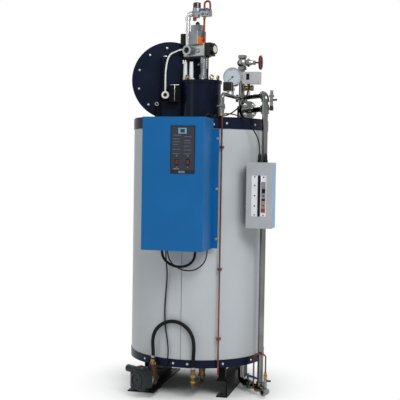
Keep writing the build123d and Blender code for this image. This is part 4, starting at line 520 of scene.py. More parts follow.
# Unlit hollow of the tap, which only shows dark
# Painted shade: a dark colour that stands for the unlit hollow of the tap
tap_shade_paint = finish("painted_tap_shade", "#141516", "#1A1B1C", 40, 0.6, 0.05, 3.0, 0.02, Specular_IOR_Level=0.1)
dress(white_tube, "air_signal_line")
# Painted shade: a dark disc set in the tap's ring
tap_hole_shade = bmesh.new()
drum(tap_hole_shade, TAP_HOLE, 0, TAP_DEPTH, blower @ Vector((*TAP_CENTRE, TAP_SEAT)), blower_out, steps=32)
piece("tap_hole_shade", tap_hole_shade, tap_shade_paint)


# Gas train
# Die-cast multi-block with an open inlet, an actuator with a ball knob and two blank plates,
# a black switch at each end and a zinc plated riser to the pilot gas fittings above.
GAS_AXIS = (7.0, 2.0, 0.0)
GAS_TURN = -18.0
ACTUATOR_X = -45.0
ACTUATOR_FACE = 59.0
ACTUATOR_HALF = 38.0
KNOB_RADIUS = 13.3
KNOB_HEIGHT = 2172.5
KNOB_STEPS = 16
ORANGE_PLATE = ((-35.0, 2048.0), (33.0, 2090.0))
TEAL_PLATE = ((-33.0, 2096.0), (30.0, 2126.0))
PLATE_SHEET = 0.8
FILM_EDGE = 0.3
REGULATOR = (-42.0, -16.0)
REGULATOR_CAP = ((0, 2264.6), (24.6, 2264.6), (24.6, 2292.0), (23.0, 2295.0), (20.0, 2296.6), (0, 2296.6))
TEST_PLUG = (-57.0, -16.0)
TEST_PLUG_CAP = (11.6, 2189.4, 2208.0)      # radius, foot and top
PILOT_CAPS = ((-1.0, -25.0), (35.0, -25.0))
PILOT_CAP = (9.6, 2241.1, 2257.8)
LOOP_ENDS = ((4.0, -4.0), (44.0, -4.0))
PIPE_NUT = 10.5
LOOP_NUT_HEIGHTS = (2241.1, 2253.0)
RISER_NUT_HEIGHTS = ((2045.1, 2057.0), (2198.0, 2209.9))
GAS_PLUGS = (((-18.0, -38.0, 2007.0), 14.0), ((8.0, -34.0, 2225.0), 9.5), ((37.0, -34.0, 2225.0), 9.5))
PLUG_RIM = 5.0
PLUG_TOP = 9.0
PLUG_HEXAGON = 0.62         # share of the plug's radius
SWITCH_END = (80.0, 0.0, 2014.5)
SWITCH_DISC = 21.0
SWITCH_DISC_PROUD = 1.6
AIR_SWITCH = (-152.0, 14.0)
AIR_SWITCH_RADIUS = 21.2
AIR_SWITCH_FOOT = 2056.0
AIR_SWITCH_RIBS = 6
RIB_PITCH = 11.0
RIB_HEIGHT = 5.0
CONDUIT = (38.0, -10.0)
CONDUIT_RADIUS = 4.5
CONDUIT_TOP = 1976.5
CONDUIT_NUT = 8.0
CONDUIT_NUT_HEIGHT = 12.5
SEAT = 0.5                  # how far thin trim and screws reach into what carries them
TO_FRONT = (0, -1, 0)

# Grey, faintly grainy, as it comes out of the die
diecast = finish("diecast", "#A2A5A6", "#7C7F80", 60, 0.42, 0.07, 1.6, 0.05, dust=0.1, Metallic=0.9)
# Flat black with a very fine texture
black_plastic = finish("black_plastic", "#0F1011", "#181919", 90, 0.45, 0.06, 1.2, 0.04,
                       Specular_IOR_Level=0.25)
# Dull reddish brown, darkened by heat and handling
copper = finish("copper", "#86493A", "#603529", 70, 0.38, 0.08, 14.0, 0.03, Metallic=0.85)
# Thick dark red lacquer, almost black in the shade
red_lacquer = finish("red_lacquer", "#3A0C10", "#2A090C", 60, 0.18, 0.04, 20.0, 0.02, Coat_Weight=0.4)
# Moulded polyethylene caps, a clear red and a clear blue with a waxy shine
bright_red = finish("red_cap_plastic", "#B31B1C", "#9C1516", 60, 0.32, 0.05, 6.0, 0.02)
cap_blue = finish("blue_cap_plastic", "#1F5CA8", "#1A4D90", 60, 0.32, 0.05, 6.0, 0.02)
# Printed polyester films, flat and even: a strong orange and a dull grey-green
orange_film = finish("orange_film", "#E2651F", "#D75C1A", 60, 0.4, 0.05, 6.0, 0.01)
teal_film = finish("teal_film", "#64787B", "#5A6D70", 60, 0.4, 0.05, 6.0, 0.01)
# Moulded nylon, warm off-white and satin
cream_plastic = finish("cream_plastic", "#E4DFCB", "#D8D2BC", 60, 0.38, 0.05, 6.0, 0.02)
dress(diecast, "gas_valve_body", "gas_actuator", "pilot_valve", "gas_outlet")
dress(zinc_plate, "gas_pipe")
dress(black_plastic, "gas_switches")
dress(copper, "pilot_tube")
gas = Matrix.Translation(GAS_AXIS) @ Matrix.Rotation(radians(GAS_TURN), 4, "Z")
gas_x = gas.to_3x3() @ Vector((1, 0, 0))


def on_gas(x, y, height=0.0):
    """Point in the gas train's turned frame."""
    return gas @ Vector((x, y, height))


regulator_cap = bmesh.new()
turn(regulator_cap, REGULATOR_CAP, on_gas(*REGULATOR), steps=40)
piece("regulator_cap", regulator_cap, red_lacquer)
plug_cap = bmesh.new()
drum(plug_cap, *TEST_PLUG_CAP, on_gas(*TEST_PLUG), edge=1.2)
piece("test_plug_cap", plug_cap, bright_red)
pilot_caps = bmesh.new()
for cap in PILOT_CAPS:
    drum(pilot_caps, *PILOT_CAP, on_gas(*cap), edge=1.2)
piece("pilot_caps", pilot_caps, cap_blue)
pipe_nuts = bmesh.new()
for end in LOOP_ENDS:
    drum(pipe_nuts, PIPE_NUT, *LOOP_NUT_HEIGHTS, on_gas(*end), edge=1.0, steps=6)
for heights in RISER_NUT_HEIGHTS:
    drum(pipe_nuts, PIPE_NUT, *heights, on_gas(*LOOP_ENDS[0]), edge=1.0, steps=6)
piece("pilot_tube_nuts", pipe_nuts, brass)
gas_front = gas.to_3x3() @ Vector(TO_FRONT)
gas_plugs = bmesh.new()
for place, radius in GAS_PLUGS:
    drum(gas_plugs, radius, -DEEP_SEAT, PLUG_RIM, on_gas(*place), gas_front, edge=1.0, steps=32)
    drum(gas_plugs, radius * PLUG_HEXAGON, PLUG_RIM, PLUG_TOP, on_gas(*place), gas_front, edge=0.8, steps=6)
piece("gas_plugs", gas_plugs, galvanised)
knob = bmesh.new()
slopes = [pi * step / KNOB_STEPS for step in range(KNOB_STEPS + 1)]
turn(knob, [(KNOB_RADIUS * sin(slope), KNOB_HEIGHT - KNOB_RADIUS * cos(slope)) for slope in slopes],
     on_gas(ACTUATOR_X, 0), steps=32)
piece("actuator_knob", knob, black_plastic)
actuator_face = facing(on_gas(ACTUATOR_X, 0), ACTUATOR_FACE)
for plate_name, (low, high), film, slot in (("orange_plate", ORANGE_PLATE, orange_film, "rocker_red"),
                                            ("teal_plate", TEAL_PLATE, teal_film, "switch_grey")):
    plate = bmesh.new()
    block(plate, (*low, ACTUATOR_HALF - PLATE_SHEET), (*high, ACTUATOR_HALF + PLATE_SHEET), FILM_EDGE,
          actuator_face)
    piece(plate_name, plate, film)
switch_disc = bmesh.new()
drum(switch_disc, SWITCH_DISC, -DEEP_SEAT, SWITCH_DISC_PROUD, on_gas(*SWITCH_END), gas_x, edge=0.6, steps=40)
piece("gas_switch_disc", switch_disc, cream_plastic)
black_trim = bmesh.new()
for rib in range(AIR_SWITCH_RIBS):
    foot = AIR_SWITCH_FOOT + rib * RIB_PITCH
    drum(black_trim, AIR_SWITCH_RADIUS, foot, foot + RIB_HEIGHT, on_gas(*AIR_SWITCH), edge=1.0, steps=40)
conduit_foot = cover_top - SEAT
drum(black_trim, CONDUIT_RADIUS, conduit_foot, CONDUIT_TOP, on_gas(*CONDUIT))
for foot in (conduit_foot, CONDUIT_TOP - CONDUIT_NUT_HEIGHT):
    drum(black_trim, CONDUIT_NUT, foot, foot + CONDUIT_NUT_HEIGHT, on_gas(*CONDUIT), edge=1.0, steps=6)
piece("gas_switch_trim", black_trim, black_plastic)


# Ignition boots
# Two white silicone boots, pushed over the spark plugs in the cover.
# A moulded white terminal clip with two prongs sits on the left one.
BOOT_CLIP = Vector((-106.0, -58.0, 1926.0))
CLIP_PRONG = Vector((7.0, 8.0, 22.0))
CLIP_PRONG_STEPS = (0.0, 13.0)
CLIP_BRIDGE = (Vector((4.0, 1.0, 4.0)), Vector((16.0, 15.0, 13.0)))
CLIP_EDGE = 1.0

dress(white_tube, "ignition_boots")
boot_clip = bmesh.new()
for step in CLIP_PRONG_STEPS:
    low = BOOT_CLIP + Vector((step, 0, 0))
    block(boot_clip, low, low + CLIP_PRONG, CLIP_EDGE)
block(boot_clip, BOOT_CLIP + CLIP_BRIDGE[0], BOOT_CLIP + CLIP_BRIDGE[1], CLIP_EDGE)
piece("boot_clip", boot_clip, white_tube)


# Steam header and nozzle flanges
# Drawn steel pipe with a flanged nozzle towards the level column and a thinner balance pipe above it.
# Four bolts with nuts draw the two flanges together.
STEAM_AXIS = Vector((240.0, 27.0, 0.0))
LEVEL_WAY = Vector((0.6479, -0.7617, 0.0))
NOZZLE_HEIGHT = 1652.0
FLANGE_FACES = (66.0, 94.0)
FLANGE_BOLT_PITCH = 38.5
FLANGE_BOLTS = 4
FLANGE_BOLT_HEAD = 9.0
FLANGE_BOLT_RADIUS = 5.0
FLANGE_BOLT_END = 14.0

# Smooth drawn pipe, bright along its middle and dark along its two sides
pipe_steel = finish("pipe_steel", "#868885", "#63655F", 160, 0.17, 0.05, 40.0, 0.05, Metallic=1.0)
dress(pipe_steel, "steam_header", "nozzle_flange", "balance_pipe")
level_side = Vector((-LEVEL_WAY.y, LEVEL_WAY.x, 0))
flange_bolts = bmesh.new()
for number in range(FLANGE_BOLTS):
    angle = (number + 0.5) * 2 * pi / FLANGE_BOLTS
    off = (level_side * cos(angle) + Vector((0, 0, sin(angle)))) * FLANGE_BOLT_PITCH
    middle = STEAM_AXIS + off + Vector((0, 0, NOZZLE_HEIGHT))
    hex_screw(flange_bolts, middle + LEVEL_WAY * FLANGE_FACES[0], -LEVEL_WAY, FLANGE_BOLT_HEAD)
    hex_screw(flange_bolts, middle + LEVEL_WAY * FLANGE_FACES[1], LEVEL_WAY, FLANGE_BOLT_HEAD)
    drum(flange_bolts, FLANGE_BOLT_RADIUS, FLANGE_FACES[1], FLANGE_FACES[1] + FLANGE_BOLT_END, middle,
         LEVEL_WAY, edge=1.0)
piece("flange_bolts", flange_bolts, zinc_plate)


# Stop valve and handwheel
# Cast stainless globe valve on top of the header, with a dark red cast iron handwheel.
# A nut with its washer holds the wheel on the spindle.
WHEEL_NUT_HEAD = 7.0

# Satin grey casting with a fine sandy skin
stainless = finish("stainless_steel", "#A0A19E", "#737471", 60, 0.27, 0.08, 4.0, 0.06, Metallic=1.0)
# Dark wine red, half gloss
handwheel_red = finish("handwheel_red", "#5E0F1D", "#4A0B17", 60, 0.32, 0.06, 2.5, 0.05)
dress(stainless, "stop_valve")
dress(handwheel_red, "handwheel")
wheel_low, wheel_high = corners("handwheel")
wheel_middle = (wheel_low + wheel_high) / 2
wheel_nut = bmesh.new()
hex_screw(wheel_nut, (wheel_high.x, wheel_middle.y, wheel_middle.z), (1, 0, 0), WHEEL_NUT_HEAD)
piece("wheel_nut", wheel_nut, zinc_plate, body="handwheel")


# Gauge line and pressure instruments
# A bright steel gauge with a pale dial, a black limit switch in front of its foot and a grey pressure
# switch on a brass cross. The dial has plain marks, a black needle and a red set mark.
GAUGE_RADIUS = 55.0
DIAL_RADIUS = 48.6
DIAL_DEPTH = 5.0            # behind the rim's front
DIAL_MARKS = 13
DIAL_START = 225.0
DIAL_SWEEP = 270.0
MARK_RADIUS = 42.0
DIAL_MARK_LENGTHS = (4.5, 2.5)      # long and short by turns
MARK_HALF_WIDTH = 0.7
MARK_FACES = (0.4, 0.9)
NEEDLE = ((-10.0, -1.2, 1.4), (37.0, 1.2, 2.2))
NEEDLE_ANGLE = 222.0
NEEDLE_HUB = 5.0
NEEDLE_HUB_PROUD = 3.2
SET_MARK = ((34.0, -1.6, 0.6), (47.0, 1.6, 1.2))
SET_ANGLE = 104.0
LIMIT_SWITCH = ((194.0, -282.2, 1746.0), (244.0, -242.2, 1796.0))
LIMIT_SHELL = 0.7
LIMIT_EDGE = 3.0
SWITCH_FRONT = -63.5
SWITCH_WINDOW = (283.0, 1828.0, 302.0, 1864.0)
SWITCH_GLASS = 0.8
SWITCH_SCREW = (3.2, 1.6, 0.6)      # radius, height and edge
SWITCH_SCREW_X = (265.0, 357.0)
SWITCH_SCREW_HEIGHTS = (1812.0, 1868.0)
CROSS_RADIUS = 14.8
CROSS_ENDS = (262.5, 323.5)
CROSS_HEIGHT = 1782.0
CROSS_DEPTH = 28.0          # behind the switch's front
CROSS_NUT = 17.0
CROSS_NUTS = ((264.5, 278.5), (307.5, 321.5))
NEEDLE_VALVE_RADIUS = 15.7
NEEDLE_VALVE_DEPTH = 9.0
NEEDLE_VALVE_CAP = (1642.0, 1658.0)
NEEDLE_VALVE_NUT = (1600.2, 1614.0)

# Polished steel that mirrors the white room and the dark fittings
chrome = finish("gauge_chrome", "#C9CBCC", "#B0B2B3", 60, 0.16, 0.04, 30.0, 0.02, Metallic=1.0)
# Pale printed dial under clear glass, which a coat stands for
dial_white = finish("dial_white", "#BAC3CA", "#B1BAC2", 60, 0.4, 0.05, 6.0, 0.01, Coat_Weight=0.7)
# Pale grey enamel on pressed sheet, satin, with a little dust on top
switch_grey = finish("switch_grey", "#B9BABA", "#ADAEAE", 90, 0.4, 0.05, 2.0, 0.03, dust=0.1)
# Smoked acrylic, nearly black and smooth
dark_glass = finish("dark_window", "#14171A", "#101315", 60, 0.2, 0.03, 40.0, 0.01,
                    Specular_IOR_Level=0.2)
dress(pipe_steel, "gauge_line")
dress(chrome, "pressure_gauge")
dress(switch_grey, "pressure_switches")
gauge_low, gauge_high = corners("pressure_gauge")
gauge_face = facing(((gauge_low.x + gauge_high.x) / 2, gauge_low.y + DIAL_DEPTH,
                     gauge_high.z - GAUGE_RADIUS), 0)
gauge_centre = gauge_face.translation


def on_dial(angle):
    """Frame on the dial whose x points from its centre at an angle."""
    return gauge_face @ Matrix.Rotation(radians(angle), 4, "Z")


def label(bm, front, area, proud, sunk, edge=0.0):
    """Add a thin plate on a front face, its area given as left, low, right and high."""
    left, low, right, high = area
    block(bm, (left, front - proud, low), (right, front + sunk, high), edge)


def round_screws(bm, columns, front, rows, screw):
    """Add round screw heads on a front face, one where each column meets each row."""
    radius, height, edge = screw
    for x in columns:
        for z in rows:
            drum(bm, radius, -SEAT, height, (x, front, z), TO_FRONT, edge=edge, steps=16)


dial = bmesh.new()
drum(dial, DIAL_RADIUS, -SEAT, SEAT, gauge_centre, TO_FRONT, steps=48)
piece("gauge_dial", dial, dial_white)
marks = bmesh.new()
for number in range(DIAL_MARKS):
    length = DIAL_MARK_LENGTHS[number % 2]
    block(marks, (MARK_RADIUS - length, -MARK_HALF_WIDTH, MARK_FACES[0]),
          (MARK_RADIUS + length / 2, MARK_HALF_WIDTH, MARK_FACES[1]), 0,
          on_dial(DIAL_START - DIAL_SWEEP * number / (DIAL_MARKS - 1)))
block(marks, *NEEDLE, FILM_EDGE, on_dial(NEEDLE_ANGLE))
drum(marks, NEEDLE_HUB, 0, NEEDLE_HUB_PROUD, gauge_centre, TO_FRONT, edge=0.6)
piece("gauge_marks", marks, black_plastic)
set_mark = bmesh.new()
block(set_mark, *SET_MARK, 0, on_dial(SET_ANGLE))
piece("gauge_set_mark", set_mark, bright_red)
limit_shell = bmesh.new()
block(limit_shell, [face - LIMIT_SHELL for face in LIMIT_SWITCH[0]],
      [face + LIMIT_SHELL for face in LIMIT_SWITCH[1]], LIMIT_EDGE)
piece("limit_switch_cover", limit_shell, black_plastic)
window = bmesh.new()
label(window, SWITCH_FRONT, SWITCH_WINDOW, SWITCH_GLASS, SWITCH_GLASS, SHEET_EDGE)
piece("switch_window", window, dark_glass)
switch_screws = bmesh.new()
round_screws(switch_screws, SWITCH_SCREW_X, SWITCH_FRONT, SWITCH_SCREW_HEIGHTS, SWITCH_SCREW)
piece("switch_screws", switch_screws, zinc_plate)
brass_fittings = bmesh.new()
cross_at = (0, SWITCH_FRONT + CROSS_DEPTH, CROSS_HEIGHT)
drum(brass_fittings, CROSS_RADIUS, *CROSS_ENDS, cross_at, (1, 0, 0), edge=1.5, steps=32)
for ends in CROSS_NUTS:
    drum(brass_fittings, CROSS_NUT, *ends, cross_at, (1, 0, 0), edge=1.2, steps=6)
drain_low, drain_high = corners("copper_drain_line")
valve_at = ((drain_low.x + drain_high.x) / 2, drain_low.y + NEEDLE_VALVE_DEPTH, 0)
drum(brass_fittings, NEEDLE_VALVE_RADIUS, *NEEDLE_VALVE_CAP, valve_at, edge=1.5, steps=32)
drum(brass_fittings, NEEDLE_VALVE_RADIUS, *NEEDLE_VALVE_NUT, valve_at, edge=1.5, steps=6)
piece("brass_fittings", brass_fittings, brass)


# Copper drain line
# Copper tube that runs down the jacket from the gauge line.
# Clips of bent steel strip hold it, each with one screw into the sheet.
CLIP_HEIGHTS = (346.0, 740.0, 1426.0)
CLIP_SCREW_X = 197.0
CLIP_SCREW_HEAD = 5.0
CLIP_LUG = ((-7.0, -5.5, -0.6), (12.0, 5.5, 0.8))

dress(copper, "copper_drain_line")
clip_angle = degrees(asin(CLIP_SCREW_X / jacket_radius))
clip_screws = bmesh.new()
for height in CLIP_HEIGHTS:
    screw_at, out = around(clip_angle, jacket_radius, height)
    hex_screw(clip_screws, screw_at, out, CLIP_SCREW_HEAD)
    block(clip_screws, *CLIP_LUG, FILM_EDGE, facing(screw_at, clip_angle))
piece("clip_screws", clip_screws, steel)


# Level column and level box
# Upright drawn steel pipe that carries a painted level controller with a glazed window.
# In the window stand a dark sight tube, two rows of lamps and small plain marks in colour.
WINDOW_FRONT = -333.6
SIGHT_X = 420.9
SIGHT_RADIUS = 6.6
SIGHT_ENDS = (1043.0, 1272.0)
SLOT_HALF = 8.0
SLOT_INSET = 6.0
SLOT_PROUD = 0.4
LAMP_ROWS = ((396.0, (1264.0, 1215.0, 1159.0, 1101.0, 1051.0)), (446.0, (1262.0, 1158.0, 1104.0, 1049.0)))
LAMP_RADIUS = 4.2
LAMP_PROUD = 1.2
BLOCK_PROUD = 0.6
DARK_BLOCKS = ((436.0, 1173.0, 456.0, 1197.0), (436.0, 1130.0, 456.0, 1142.0))
ORANGE_BLOCK = (434.0, 1116.0, 449.0, 1124.0)
RED_BLOCK = (434.0, 1067.0, 455.0, 1087.0)
SHADED_SCALE = (432.0, 1062.0, 457.5, 1236.0)
SHADE_PROUD = 0.3
CASE_BACK = -205.6
# Inset and standing out of the painted reflection sheet on the case's right side
REFLECTION_INSET = 9.0
REFLECTION_PROUD = 0.5
BOX_SCREW = (4.0, 1.8, 0.7)         # radius, height and edge
BOX_SCREW_INSET = (12.0, 14.0)

# Light grey enamel on folded sheet, satin, with a little dust on top
level_grey = finish("level_box_grey", "#A9ACAE", "#A0A3A5", 90, 0.38, 0.05, 2.0, 0.03, dust=0.1)
# White printed plate behind clear acrylic, which a coat stands for
level_white = finish("level_scale", "#E2E3E3", "#D6D7D7", 90, 0.3, 0.05, 6.0, 0.02, Coat_Weight=0.4)
# Painted reflection: pale blue on the right side of the case that stands for the sky it mirrors
sky_reflection_paint = finish("painted_sky_reflection", "#6F9DC6", "#6894BD", 200, 0.25, 0.05, 60.0, 0.2)
# Painted shade: grey that stands for the shade on the scale behind the right row of lamps
scale_shade_paint = finish("painted_scale_shade", "#8B888B", "#6F6C70", 12, 0.35, 0.05, 6.0, 0.01)
dress(pipe_steel, "level_column")
dress(level_grey, "level_box")
dress(level_white, "level_gauge")
dress(black_plastic, "level_glands")
sight = bmesh.new()
drum(sight, SIGHT_RADIUS, *SIGHT_ENDS, (SIGHT_X, WINDOW_FRONT, 0), steps=20)
label(sight, WINDOW_FRONT, (SIGHT_X - SLOT_HALF, SIGHT_ENDS[0] + SLOT_INSET, SIGHT_X + SLOT_HALF,
                            SIGHT_ENDS[1] - SLOT_INSET), SLOT_PROUD, DEEP_SEAT)
for area in DARK_BLOCKS:
    label(sight, WINDOW_FRONT, area, BLOCK_PROUD, DEEP_SEAT, FILM_EDGE)
for x, heights in LAMP_ROWS:
    for height in heights:
        drum(sight, LAMP_RADIUS, -DEEP_SEAT, LAMP_PROUD, (x, WINDOW_FRONT, height), TO_FRONT,
             edge=0.5, steps=20)
piece("sight_tube", sight, dark_glass)
for mark_name, area, film in (("level_alarm_mark", RED_BLOCK, bright_red),
                              ("level_low_mark", ORANGE_BLOCK, orange_film)):
    mark = bmesh.new()
    label(mark, WINDOW_FRONT, area, BLOCK_PROUD, DEEP_SEAT, FILM_EDGE)
    piece(mark_name, mark, film)
# Painted shade: a grey sheet on the scale behind the right row of lamps
scale_shade = bmesh.new()
label(scale_shade, WINDOW_FRONT, SHADED_SCALE, SHADE_PROUD, DEEP_SEAT)
piece("scale_shade", scale_shade, scale_shade_paint)
box_low, box_high = corners("level_box")
# Painted reflection: a pale blue sheet over the case's right side
side_reflection_sheet = bmesh.new()
block(side_reflection_sheet, (box_high.x - SEAT, box_low.y + REFLECTION_INSET, box_low.z + REFLECTION_INSET),
      (box_high.x + REFLECTION_PROUD, CASE_BACK - REFLECTION_INSET, box_high.z - REFLECTION_INSET))
piece("side_reflection_sheet", side_reflection_sheet, sky_reflection_paint)
inset_x, inset_z = BOX_SCREW_INSET
box_screws = bmesh.new()
round_screws(box_screws, (box_low.x + inset_x, box_high.x - inset_x), box_low.y,
             (box_low.z + inset_z, box_high.z - inset_z), BOX_SCREW)
piece("level_box_screws", box_screws, zinc_plate)


# Try cock
# Cast stainless cock beside the column, with a bronze union under it.
# Its flat lever turns a quarter and is dipped in black vinyl.
TRY_AXIS = (456.87, -185.63, 0.0)
UNION = (10.2, 1640.2, 1668.0)      # radius, foot and top
UNION_NUT = (13.2, 1645.0, 1659.0)
SLEEVE_START = 18.0         # from the left of the lever
SLEEVE_HALF = 5.2
SLEEVE_THICKNESS = 0.8
SLEEVE_GAP = 0.1
SLEEVE_EDGE = 1.2

# Brown cast metal with a rough skin
bronze = finish("pump_bronze", "#5A4436", "#322A25", 60, 0.45, 0.08, 3.0, 0.1, Metallic=0.8)
dress(stainless, "try_cock", "try_cock_lever")
union = bmesh.new()
drum(union, *UNION_NUT, TRY_AXIS, edge=1.0, steps=6)
drum(union, *UNION, TRY_AXIS, edge=1.0)
piece("try_cock_union", union, bronze)


def lever_sleeve(name, lever):
    """Black dip over the outer part of a cock's lever, clear of the cock behind it."""
    low, high = corners(lever)
    middle = (low.z + high.z) / 2
    sleeve = bmesh.new()
    block(sleeve, (low.x + SLEEVE_START, low.y - SLEEVE_THICKNESS, middle - SLEEVE_HALF),
          (high.x + SLEEVE_THICKNESS, high.y - SLEEVE_GAP, middle + SLEEVE_HALF), SLEEVE_EDGE)
    piece(name, sleeve, black_plastic, body=lever)


lever_sleeve("try_lever_sleeve", "try_cock_lever")


# Control box
# Folded sheet steel in blue powder coat on a back plate that is screwed to the jacket.
# A printed film with a small display, rows of plain marks and two red rockers is set in its front.
FLANGE_SCREW_X = 196.0
FLANGE_SCREW_HEIGHTS = (915.0, 1194.0, 1473.0)
FLANGE_SCREW_HEAD = 6.0
PANEL_FRONT = -626.0
FIELD = (-6.0, 1296.0, 118.0, 1528.0)
FIELD_PROUD = 0.25
DISPLAY = (31.0, 1490.0, 77.0, 1521.0)
DISPLAY_PROUD = 2.3
DIGITS = (43.0, 1496.0, 67.0, 1515.0)
DIGITS_PROUD = 2.5
PRINT_PROUD = 0.45
LEFT_MARKS = (1482.0, 1462.0, 1446.0, 1431.0, 1407.0, 1383.0)
RIGHT_MARKS = (1475.0, 1454.0, 1441.0, 1424.0, 1403.0, 1383.0)
MARK_STARTS = (2.0, 63.0)
MARK_LENGTHS = (43.0, 36.0, 40.0, 30.0, 42.0, 34.0)
MARK_HALF_HEIGHT = 1.0
FOOT_BARS = ((33.0, 1280.0, 69.0, 1292.0), (6.0, 1300.0, 37.0, 1305.0))
ROCKER_HEIGHT = 1338.0
ROCKER_DOTS = ((24.0, 1372.0), (85.0, 1372.0), (24.0, 1311.0), (85.0, 1311.0))
DOT_RADIUS = 3.4
DOT_PROUD = 0.8
BEZEL_HALF = (9.5, 16.5)
BEZEL_HOLE = (6.8, 12.8)
BEZEL_FRONT = -628.0
BEZEL_PROUD = 0.6

# Clear mid blue with the soft orange peel of powder coat
control_blue = finish("control_blue", "#0E5F9B", "#0D5890", 300, 0.42, 0.05, 2.2, 0.05,
                      Specular_IOR_Level=0.2)
# Printed polyester film, matt: a charcoal border round a paler field
panel_film = finish("panel_film", "#24252E", "#202129", 300, 0.5, 0.05, 2.0, 0.02, Specular_IOR_Level=0.2)
field_film = finish("panel_field", "#33363F", "#2E3139", 300, 0.5, 0.05, 2.0, 0.02, Specular_IOR_Level=0.2)
# Pale blue-grey glass, lit from behind in the real one
display_glass = finish("display_glass", "#6C95AD", "#648CA4", 60, 0.2, 0.04, 30.0, 0.01, Coat_Weight=0.4)
# Light grey ink, matt, drawn as thick as it needs to show
pale_print = finish("pale_print", "#6F6E77", "#66656D", 60, 0.5, 0.05, 4.0, 0.01)
# Red translucent plastic that looks dark while its lamp is off
rocker_red = finish("rocker_red", "#620C11", "#540A0E", 60, 0.3, 0.05, 6.0, 0.02, Coat_Weight=0.3)
dress(control_blue, "control_back", "control_cover")
dress(panel_film, "display_panel")
dress(rocker_red, "power_rocker", "heat_rocker")
field = bmesh.new()
label(field, PANEL_FRONT, FIELD, FIELD_PROUD, SEAT)
piece("panel_field", field, field_film)
display = bmesh.new()
label(display, PANEL_FRONT, DISPLAY, DISPLAY_PROUD, SEAT, FILM_EDGE)
piece("display_glass", display, display_glass)
digits = bmesh.new()
label(digits, PANEL_FRONT, DIGITS, DIGITS_PROUD, SEAT)
piece("display_digits", digits, field_film)
prints = bmesh.new()
rows = [(start, height - MARK_HALF_HEIGHT, start + length, height + MARK_HALF_HEIGHT)
        for start, heights in zip(MARK_STARTS, (LEFT_MARKS, RIGHT_MARKS))
        for height, length in zip(heights, MARK_LENGTHS)]
for area in (*rows, *FOOT_BARS):
    label(prints, PANEL_FRONT, area, PRINT_PROUD, SEAT)
for x, height in ROCKER_DOTS:
    drum(prints, DOT_RADIUS, -SEAT, DOT_PROUD, (x, PANEL_FRONT, height), TO_FRONT, steps=20)
piece("panel_print", prints, pale_print)
bezels = bmesh.new()
for rocker in ("power_rocker", "heat_rocker"):
    low, high = corners(rocker)
    x = (low.x + high.x) / 2
    for side in (-1, 1):
        rims = ((sorted((side * BEZEL_HOLE[0], side * BEZEL_HALF[0])), (-BEZEL_HALF[1], BEZEL_HALF[1])),
                ((-BEZEL_HALF[0], BEZEL_HALF[0]), sorted((side * BEZEL_HOLE[1], side * BEZEL_HALF[1]))))
        for (x_low, x_high), (z_low, z_high) in rims:
            label(bezels, BEZEL_FRONT, (x + x_low, ROCKER_HEIGHT + z_low, x + x_high, ROCKER_HEIGHT + z_high),
                  BEZEL_PROUD, DEEP_SEAT)
piece("rocker_bezels", bezels, black_plastic)
flange_front = corners("control_back")[0].y
flange_screws = bmesh.new()
for x in (-FLANGE_SCREW_X, FLANGE_SCREW_X):
    for height in FLANGE_SCREW_HEIGHTS:
        hex_screw(flange_screws, (x, flange_front, height), TO_FRONT, FLANGE_SCREW_HEAD)
piece("control_flange_screws", flange_screws, zinc_plate)


# Blow-down line and drain
# Drawn steel pipe with a ball valve whose steel lever has a blue vinyl sleeve, and a cast drain elbow
# with a small cock, which a bent copper tube by-passes.
BLOW_STEM = (334.6, -99.4, 0.0)
BLOW_TURN = -45.0
SLEEVE = ((20.0, -10.6, 86.6), (78.0, 10.6, 95.4))
BARE_TIP = ((78.0, -9.3, 87.7), (94.3, 9.3, 94.3))
SLEEVE_ROUND = 3.0
TIP_EDGE = 0.6
LEVER_EYE = (11.4, 87.8, 94.3)      # radius, foot and top
STEM_NUT = (10.0, 94.0, 101.0)
DRAIN_AXIS = (457.64, -222.4, 0.0)
DRAIN_NUTS = ((12.0, 120.0, 131.2), (9.0, 131.0, 144.0))

# Soft blue vinyl with a dull shine
lever_blue = finish("lever_blue", "#2E71BC", "#2764A8", 60, 0.35, 0.05, 2.5, 0.04)
dress(pipe_steel, "blowdown_pipe")
dress(lever_blue, "blowdown_lever")
dress(stainless, "drain_fitting", "drain_cock_lever")
dress(copper, "drain_tube")
blow_lever = Matrix.Translation(BLOW_STEM) @ Matrix.Rotation(radians(BLOW_TURN), 4, "Z")
sleeve = bmesh.new()
block(sleeve, *SLEEVE, SLEEVE_ROUND, blow_lever)
piece("blowdown_sleeve", sleeve, lever_blue, body="blowdown_lever")
lever_steel = bmesh.new()
block(lever_steel, *BARE_TIP, TIP_EDGE, blow_lever)
drum(lever_steel, *LEVER_EYE, BLOW_STEM, edge=0.5, steps=32)
drum(lever_steel, *STEM_NUT, BLOW_STEM, edge=1.0, steps=6)
piece("blowdown_lever_steel", lever_steel, zinc_plate, body="blowdown_lever")
drain_nut = bmesh.new()
for nut in DRAIN_NUTS:
    drum(drain_nut, *nut, DRAIN_AXIS, edge=1.0, steps=6)
piece("drain_tube_nut", drain_nut, brass)
lever_sleeve("drain_lever_sleeve", "drain_cock_lever")


# Feed pump
# Small motor pump in dark grey enamel on a black bracket, with a bronze head and a brass discharge.
# Screws hold its end shield and the lid of its terminal box, on which a copper plug stands.
PUMP_ORIGIN = (-236.0, -466.0, 103.0)
PUMP_TURN = 59.0
SHIELD_SCREW_RADIUS = 40.0
SHIELD_SCREW_HEAD = 5.0
HEAD_BAND = (73.5, 81.5)
HEAD_BAND_RADIUS = 51.0
TERMINAL_HALF = 26.0
TERMINAL_TOP = 72.0
TERMINAL_ROWS = (18.0, 55.0)
TERMINAL_SCREW = 3.6
TERMINAL_SCREW_PROUD = 2.0
PUMP_PLUG = 9.0
PUMP_PLUG_PROUD = 7.0
PUMP_PLUG_ALONG = 36.0
DISCHARGE = (-161.0, -397.0, 0.0)
DISCHARGE_NUT = (19.6, 186.2, 199.8)        # radius, foot and top
DISCHARGE_NECK = (13.6, 199.6, 216.0)

